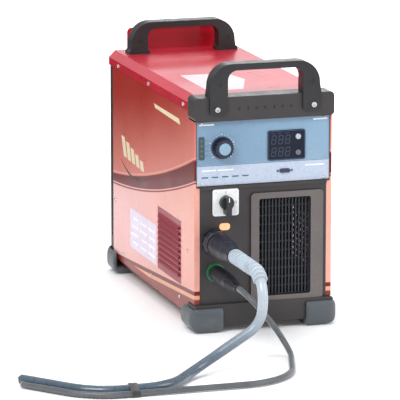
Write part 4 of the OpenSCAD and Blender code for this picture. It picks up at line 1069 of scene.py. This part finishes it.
def fan_blade(start_angle):
    """Cambered, swept blade with two skins of (rows + 1) by (columns + 1) points."""
    rows, columns = 9, 10                           # along the span, across the chord
    middle_y = REAR_SHEET - 0.0197
    half_depth = 0.0098                             # half of the blade's extent in y
    verts, faces = [], []
    for side in (1, -1):
        for i in range(rows + 1):
            part = i / rows
            radius = 0.0312 + 0.0423 * part
            chord = 0.0115 + 0.0085 * part
            normal = Vector((half_depth, chord)).normalized()
            for j in range(columns + 1):
                place = -1 + 2 * j / columns
                thick = side * (0.0010 * math.sqrt(max(0.0, 1 - place * place)) + 0.00015)
                around = place * chord * (0.9 + 0.1 * math.cos(place)) + normal.x * thick
                y = (middle_y - place * half_depth + 0.0016 * (1 - place * place)
                     + normal.y * thick)
                angle = start_angle + 0.22 * part ** 1.4 + around / radius
                verts.append((FAN.x + radius * math.cos(angle), y,
                              FAN.z + radius * math.sin(angle)))

    def at(skin, i, j):
        return (skin * (rows + 1) + i) * (columns + 1) + j

    for i in range(rows):
        for j in range(columns):
            faces.append((at(0, i, j), at(0, i + 1, j), at(0, i + 1, j + 1), at(0, i, j + 1)))
            faces.append((at(1, i, j), at(1, i, j + 1), at(1, i + 1, j + 1), at(1, i + 1, j)))
    for i in range(rows):
        for j in (0, columns):
            faces.append((at(0, i, j), at(1, i, j), at(1, i + 1, j), at(0, i + 1, j)))
    for j in range(columns):
        for i in (0, rows):
            faces.append((at(0, i, j), at(0, i, j + 1), at(1, i, j + 1), at(1, i, j)))
    return verts, faces


def fan_rotor():
    front, back = REAR_SHEET - 0.0322, REAR_SHEET - 0.0072
    hub = turned([(front, 0.0042), (front, 0.0300), (front + 0.0010, 0.0316),
                  (front + 0.0022, 0.0320), (back - 0.0035, 0.0320), (back - 0.0012, 0.0308),
                  (back, 0.0285), (back, 0.0180), (back - 0.0006, 0.0174),
                  (back - 0.0006, 0.0042)], FAN, (0, 1, 0), 72, closed=True)
    blades = [fan_blade(2 * PI * i / 7) for i in range(7)]
    piece("fan_rotor_moulding", [hub] + blades, "fan_black", body="fan_rotor",
          replaces="fan_rotor", crease=50)


fan_guard()
fan_rotor()


# ------------------------------------------------------------------ rubber corner boots
def corner_boots():
    """The CAD feet, remeshed and smoothed into a soft moulded form."""
    mesh = NODES["corner_feet"].data.copy()
    mesh.name = "corner_boots"
    work = bmesh.new()
    work.from_mesh(mesh)
    bmesh.ops.remove_doubles(work, verts=work.verts, dist=1e-6)
    bmesh.ops.recalc_face_normals(work, faces=work.faces)
    work.to_mesh(mesh)
    work.free()
    boots = new_object("corner_boots", mesh, "boot_rubber")
    add_modifier(boots, "grain", "REMESH", mode="VOXEL", voxel_size=0.0019,
                 use_smooth_shade=True)
    add_modifier(boots, "soft", "SMOOTH", factor=0.5, iterations=26)
    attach(boots, "unit")
    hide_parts("corner_feet")


corner_boots()


# ------------------------------------------------------------------ pressure gauge face
def radial_tick(centre, angle, inner, outer, half_width, y0, y1):
    outward = Vector((math.cos(angle), 0, math.sin(angle)))
    aside = Vector((-outward.z, 0, outward.x)) * half_width
    near, far = centre + outward * inner, centre + outward * outer
    corners = (near - aside, far - aside, far + aside, near + aside)
    return slab([(corner.x, corner.z) for corner in corners], "xz", y0, y1)


def gauge_angle(part):
    """Scale open at the bottom, read from behind the unit."""
    return math.radians(-45 + 270 * part)


def gauge_face():
    back = REAR + 0.036 + 0.0040
    face = back + 0.00025
    dial = turned([(back, 0.0014), (back, 0.01735), (face, 0.01735), (face, 0.0014)],
                  GAUGE, (0, 1, 0), 64, closed=True)
    piece("gauge_dial", [dial], "dial_white")
    ticks = []
    for i in range(31):
        inner, half_width = (0.0118, 0.00035) if i % 5 == 0 else (0.0134, 0.00018)
        ticks.append(radial_tick(GAUGE, gauge_angle(i / 30), inner, 0.0155, half_width,
                                 face, face + 0.00013))
    piece("gauge_ticks", ticks, "black_ink")
    arc = []
    for i in range(10):
        start = gauge_angle(0.72 + 0.028 * i)
        end = gauge_angle(0.72 + 0.028 * (i + 1))
        outline = [(GAUGE.x + math.cos(angle) * radius, GAUGE.z + math.sin(angle) * radius)
                   for angle, radius in ((end, 0.0158), (start, 0.0158), (start, 0.0170),
                                         (end, 0.0170))]
        arc.append(slab(outline, "xz", face, face + 0.00011))
    piece("gauge_red_arc", arc, "needle_red")


gauge_face()


# ------------------------------------------------------------------ filter inside the bowl
def filter_element():
    def pleated(angle):
        return 0.0088 + 0.0007 * math.cos(18 * angle)

    low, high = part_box("filter_bowl")
    bottom, top = low.z + 0.030, high.z - 0.004
    profile = [(bottom, 0.0), (bottom, 0.0085), (bottom + 0.002, 0.0098),
               (bottom + 0.003, pleated), (top - 0.003, pleated), (top - 0.002, 0.0098),
               (top, 0.0098), (top, 0.0)]
    piece("filter_element", [turned(profile, (REGULATOR_X, REAR + 0.012, 0), (0, 0, 1), 108)],
          "filter_white", crease=50)


filter_element()

# ------------------------------------------------------------------ printed marks in front
PANEL_FACE = FRONT + 0.002
WINDOW_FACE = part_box("display_window")[0].y
SWITCH_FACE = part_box("switch_plate")[0].y
RAISED = 0.00012                                    # how far print stands off its face
SUNK = 0.0002                                       # and how far it reaches into it


def printed_bars(bars, face, raised=RAISED, sunk=SUNK):
    """bars: (x0, x1, z0, z1, corner radius)"""
    return [slab(rounded(*bar), "xz", face - raised, face + sunk) for bar in bars]


def panel_marks():
    white = []
    for i in range(21):                             # scale round the current knob
        angle = math.radians(90 - (-135 + 270 * i / 20))
        outer, half_width = (0.0262 + 0.0015, 0.0006) if i % 5 == 0 else (0.0262, 0.0004)
        white.append(radial_tick(KNOB, angle, 0.0243, outer, half_width,
                                 PANEL_FACE - RAISED, PANEL_FACE + SUNK))
    white += printed_bars([(-0.1275, -0.098, 0.3105, 0.3128, 0.0009),
                           (-0.0945, -0.062, 0.3105, 0.3128, 0.0009),
                           (0.088, 0.128, 0.3105, 0.3128, 0.0009),
                           (-0.1330, -0.102, 0.4020, 0.4050, 0.0009),
                           (0.104, 0.1335, 0.4020, 0.4050, 0.0009)], PANEL_FACE)
    piece("panel_marks_white", white, "print_white")
    row = [(-0.128 + 0.021 * i, -0.114 + 0.021 * i, 0.2965, 0.2992, 0.0010) for i in range(5)]
    row += [(0.028, 0.0325, 0.3005, 0.3055, 0.0008), (0.0575, 0.062, 0.3005, 0.3055, 0.0008)]
    blue = printed_bars(row, PANEL_FACE)
    blue += printed_bars([(-0.1365, 0.1365, 0.3208, 0.3216, 0.0003)], PANEL_FACE, 0.00010)
    heights = [KNOB.z - 0.015 + 0.010 * i for i in range(4)]
    blue += printed_bars([(-0.1195, -0.1135, z - 0.0006, z + 0.0006, 0.0004)
                          for z in heights], PANEL_FACE)
    piece("panel_marks_blue", blue, "ink_blue")


def digit(x, z):
    """Seven slanted segments of one digit, from its lower left corner."""
    width, height, stroke, slant = 0.0105, 0.0185, 0.0020, 0.12
    gap, half = stroke * 0.12, stroke / 2

    def level(middle_z):
        left, right = x + gap + half, x + width - gap - half
        return [(left - half + gap, middle_z), (left, middle_z + half),
                (right, middle_z + half), (right + half - gap, middle_z),
                (right, middle_z - half), (left, middle_z - half)]

    def upright(middle_x, low, high):
        low, high = low + gap + half, high - gap - half
        return [(middle_x, low - half + gap), (middle_x - half, low),
                (middle_x - half, high), (middle_x, high + half - gap),
                (middle_x + half, high), (middle_x + half, low)]

    bottom, centre, top = z + half, z + height / 2, z + height - half
    left, right = x + half, x + width - half
    outlines = [level(bottom), level(centre), level(top),
                upright(left, bottom, centre), upright(right, bottom, centre),
                upright(left, centre, top), upright(right, centre, top)]
    return [slab([(px + (pz - z) * slant, pz) for px, pz in outline], "xz",
                 WINDOW_FACE - 0.0001, WINDOW_FACE + SUNK) for outline in outlines]


def display_marks():
    """Two rows of three unlit digits, three small bars above and a thin rim line."""
    starts = [DISPLAY.x - 0.033 + 0.0145 * i for i in range(3)]
    segments = []
    for z in (0.3570, 0.3325):
        for x in starts:
            segments += digit(x, z)
    segments += printed_bars([(x, x + 0.0085, 0.3785, 0.3800, 0.0007) for x in starts],
                             WINDOW_FACE, 0.0001)
    piece("display_segments", segments, "seg_off")

    low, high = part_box("display_window")
    outer, inner = [
        rounded(low.x + inset, high.x - inset, low.z + inset, high.z - inset, radius, 5)
        for inset, radius in ((0.0012, 0.0032), (0.0018, 0.0027))]
    count = len(outer)
    verts = [(x, y, z) for y in (WINDOW_FACE - 0.0001, WINDOW_FACE + SUNK)
             for outline in (outer, inner) for x, z in outline]
    faces = []
    for i in range(count):
        j = (i + 1) % count
        faces += [(i, j, count + j, count + i),
                  (2 * count + i, 3 * count + i, 3 * count + j, 2 * count + j),
                  (i, 2 * count + i, 2 * count + j, j),
                  (count + i, count + j, 3 * count + j, 3 * count + i)]
    piece("display_rim_line", [(verts, faces)], "ink_blue")


def switch_marks():
    """A pointer on the knob, a ring and a bar on the plate."""
    low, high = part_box("switch_knob")
    pointer = (SWITCH.x - 0.0008, SWITCH.x + 0.0008, high.z - 0.0105, high.z - 0.0015, 0.0007)
    piece("switch_pointer", printed_bars([pointer], low.y, 0.00015, 0.0004), "print_white",
          body="power_switch_knob")
    ring = turned([(0.0, 0.0017), (0.0, 0.0024), (0.0003, 0.0024), (0.0003, 0.0017)],
                  (SWITCH.x + 0.0205, SWITCH_FACE - RAISED, SWITCH.z), (0, 1, 0), 32,
                  closed=True)
    mark = (SWITCH.x - 0.0005, SWITCH.x + 0.0005, SWITCH.z + 0.0185, SWITCH.z + 0.0232, 0.0004)
    piece("switch_marks", [ring] + printed_bars([mark], SWITCH_FACE), "print_dark")


panel_marks()
display_marks()
switch_marks()

# ------------------------------------------------------------------ labels on the case
FILM_SUNK = 0.0003                                  # film reaches this far into the sheet
FILM_RAISED = 0.00025                               # and stands off it by this


def film(name, outline, plane, depth0, depth1, material):
    piece(name, [slab(outline, plane, depth0, depth1)], material,
          bevel=0.00008)


def side_labels(side, tag):
    """side is the sign of x; outlines are in y and z."""
    inside, outside = side * (SIDE - FILM_SUNK), side * (SIDE + FILM_RAISED)
    film("rating_plate_" + tag, rounded(-0.040, 0.150, 0.066, 0.150, 0.004, 4), "yz",
         inside, outside, "label_lilac")
    fields = []
    for row in range(4):
        for column in range(3):
            y = -0.030 + 0.060 * column
            outline = rounded(y, y + 0.050 - 0.006 * ((row + column) % 3),
                              0.078 + 0.017 * row, 0.0835 + 0.017 * row, 0.0010)
            fields.append(slab(outline, "yz", inside, outside + side * 0.00012))
    piece("rating_plate_fields_" + tag, fields, "print_white")
    film("side_flash_" + tag,
         [(-0.206, 0.389), (-0.034, 0.393), (-0.024, 0.401), (-0.196, 0.400)],
         "yz", inside, outside, "label_cream")
    bars = []                                       # slanted bars, growing towards the rear
    for i in range(5):
        y, z, height = 0.048 + 0.031 * i, 0.244 + 0.0015 * i, 0.020 + 0.0055 * i
        lean = height * 0.42
        bars.append(slab([(y, z), (y + 0.0225, z + 0.0004),
                          (y + 0.0225 + lean, z + height),
                          (y + lean, z + height - 0.0004)], "yz", inside, outside))
    piece("side_bars_" + tag, bars, "label_cream")
    upper, lower = [], []                           # sagging stroke under the bars
    for i in range(21):
        y = 0.215 - 0.205 * i / 20
        z = 0.241 - 0.0195 * math.sin(PI * (i / 20) ** 0.85) - 0.004 * i / 20
        upper.append((y, z))
        # clamp: the sine may fall just below zero at the last point
        lower.append((y, z - 0.0004 - 0.0046 * max(0.0, math.sin(PI * i / 20)) ** 0.9))
    film("side_stroke_" + tag, upper + lower[::-1], "yz", inside, outside + side * 0.0001,
         "black_ink")


side_labels(-1, "left")
side_labels(1, "right")
film("top_label",
     [(-0.092, -0.226), (-0.018, -0.226), (0.020, -0.120), (0.006, -0.040), (-0.092, -0.040)],
     "xy", TOP - FILM_SUNK, TOP + FILM_RAISED, "label_pink")
film("top_stripe",
     [(0.034, -0.226), (0.060, -0.226), (0.092, -0.120), (0.078, -0.040), (0.050, -0.040),
      (0.064, -0.120)], "xy", TOP - FILM_SUNK, TOP + FILM_RAISED, "bright_red")
film("rear_label", rounded(0.030, 0.126, 0.296, 0.344, 0.003, 4), "xz",
     REAR_SHEET - FILM_SUNK, REAR_SHEET + FILM_RAISED, "print_white")
rear_fields = [rounded(0.036, 0.120 - 0.012 * (i % 2), 0.303 + 0.0085 * i,
                       0.3065 + 0.0085 * i, 0.0008) for i in range(5)]
piece("rear_label_fields", [slab(field, "xz", REAR_SHEET - FILM_SUNK, REAR_SHEET + 0.00034)
                            for field in rear_fields], "print_dark")

# ------------------------------------------------------------------ second finishes on CAD nodes
transformer_low, transformer_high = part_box("transformer")


def on_winding(c):
    """Transformer faces on the winding."""
    outside = c.x < transformer_low.x + 0.0098 or c.x > transformer_high.x - 0.0098
    between_legs = 0.0375 < c.y < 0.060 or 0.090 < c.y < 0.1125
    return (outside or between_legs) and 0.0225 < c.z < 0.0745


def on_choke_winding(c):
    radius = math.hypot(c.y + 0.090, c.z - 0.076)
    return radius > 0.0593 or radius < 0.0247 or abs(c.x - 0.072) > 0.0171


# node, material, test on the centre of a face
REGIONS = (
    ("control_board", "chip_black", lambda c: c.x > 0.0217 and c.z < 0.38),
    ("control_board", "header_white", lambda c: c.x > 0.0217 and c.z > 0.38),
    ("control_board", "valve_brass", lambda c: c.x < 0.0199),
    ("power_board", "chip_black", lambda c: c.x < -0.0899),
    ("rear_panel", "valve_brass",
     lambda c: math.hypot(c.x + 0.112, c.z - 0.070) < 0.0095 and c.y > REAR_SHEET + 0.0002),
    ("front_bezel", "frame_grey",
     lambda c: (FRONT - 0.0056 < c.y < FRONT - 0.0040 and 0.041 < c.z < 0.264
                and -0.030 < c.x < 0.128)),
    ("display_board", "chip_black",
     lambda c: c.y < FRONT + 0.0128 and DISPLAY.x - 0.033 < c.x < DISPLAY.x + 0.0145),
    ("display_board", "header_white", lambda c: c.y > FRONT + 0.0148),
    ("status_lights", "lamp_green", lambda c: c.y < FRONT + 0.00079 or c.y > FRONT + 0.0021),
    ("solenoid_valve", "module_black", lambda c: c.z < 0.1545),
    ("transformer", "copper", on_winding),
    ("output_choke", "copper", on_choke_winding),
    ("bus_capacitors", "bare_aluminium", lambda c: c.x < -0.1335),
)
for node_name, material_name, test in REGIONS:
    mesh = NODES[node_name].data
    mesh.materials.append(MATERIALS[material_name])
    for polygon in mesh.polygons:
        if test(polygon.center):
            polygon.material_index = len(mesh.materials) - 1


# ------------------------------------------------------------------ stage
def floor_material():
    mat = Shader("studio_floor")
    # far from the unit the floor is kept bright, for the camera only
    distance = mat.add("VectorMath", {0: mat.position}, operation="LENGTH").outputs["Value"]
    glow = mat.ramp(distance, span=(0.5, 4.0), to=(0.04, 0.62))
    mat.surface(
        Base_Color=mat.mix(mat.patches(scale=2.0, detail=4, span=(0.3, 0.7)),
                           (0.90, 0.90, 0.90, 1), (0.93, 0.93, 0.93, 1)),
        Roughness=0.8,
        Specular_IOR_Level=0.0,
        Emission_Color=(1.0, 1.0, 1.0, 1.0),
        Emission_Strength=mat.times(glow, mat.add("LightPath").outputs["Is Camera Ray"]))


def card_material():
    mat = Shader("card")
    mat.surface(
        Base_Color=mat.mix(mat.patches(scale=1.5, detail=3, span=(0.3, 0.7)),
                           (0.030, 0.022, 0.020, 1), (0.045, 0.034, 0.030, 1)),
        Roughness=0.9,
        Specular_IOR_Level=0.0)


def sheet(name, x0, x1, y0, y1, z, material):
    mesh = bpy.data.meshes.new(name)
    mesh.from_pydata([(x0, y0, z), (x1, y0, z), (x1, y1, z), (x0, y1, z)], [], [(0, 1, 2, 3)])
    return new_object(name, mesh, material)


def aim(obj, location, target):
    obj.location = location
    obj.rotation_mode = "QUATERNION"
    direction = Vector(target) - Vector(location)
    obj.rotation_quaternion = direction.to_track_quat("-Z", "Y")


def area_light(name, location, target, size, power):
    light = bpy.data.lights.new(name, "AREA")
    light.shape = "RECTANGLE"
    light.size, light.size_y = size
    light.energy = power
    obj = bpy.data.objects.new(name, light)
    aim(obj, location, target)
    bpy.context.scene.collection.objects.link(obj)
    return obj


floor_material()
sheet("floor", -40.0, 40.0, -40.0, 40.0, FLOOR - 0.0005, "studio_floor")

area_light("key", location=(-2.2, -2.6, 3.0), target=(0, 0, 0.2), size=(2.2, 1.6), power=120)
area_light("fill", location=(2.6, -2.2, 1.6), target=(0, 0, 0.25), size=(1.6, 2.0), power=45)
top_light = area_light("top", location=(0.2, 0.6, 3.2), target=(0, 0, 0.3), size=(2.4, 2.4),
                       power=70)
top_light.visible_glossy = False
area_light("rear_fill", location=(1.6, 3.4, 2.6), target=(0, 0, 0.2), size=(2.0, 2.0),
           power=55)

# dark card on the floor behind the unit: only reflections see it
card_material()
card = sheet("reflection_card", -4.5, 0.6, 1.18, 6.5, FLOOR + 0.004, "card")
for ray in ("camera", "diffuse", "transmission", "volume_scatter", "shadow"):
    setattr(card, "visible_" + ray, False)

scene = bpy.context.scene
world = bpy.data.worlds.new("world")
world.use_nodes = True
background = world.node_tree.nodes["Background"]
background.inputs["Color"].default_value = (0.93, 0.95, 1.0, 1)
background.inputs["Strength"].default_value = 0.55
scene.world = world
scene.view_settings.view_transform = "Standard"
scene.view_settings.look = "None"
scene.view_settings.exposure = 0.0

camera_data = bpy.data.cameras.new("camera")
camera_data.sensor_width = 36
camera_data.lens = 330
camera_data.clip_end = 200
camera = bpy.data.objects.new("camera", camera_data)
aim(camera, location=(-2.254, -7.045, 1.741), target=(-0.075, -0.12, 0.215))
scene.collection.objects.link(camera)
scene.camera = camera
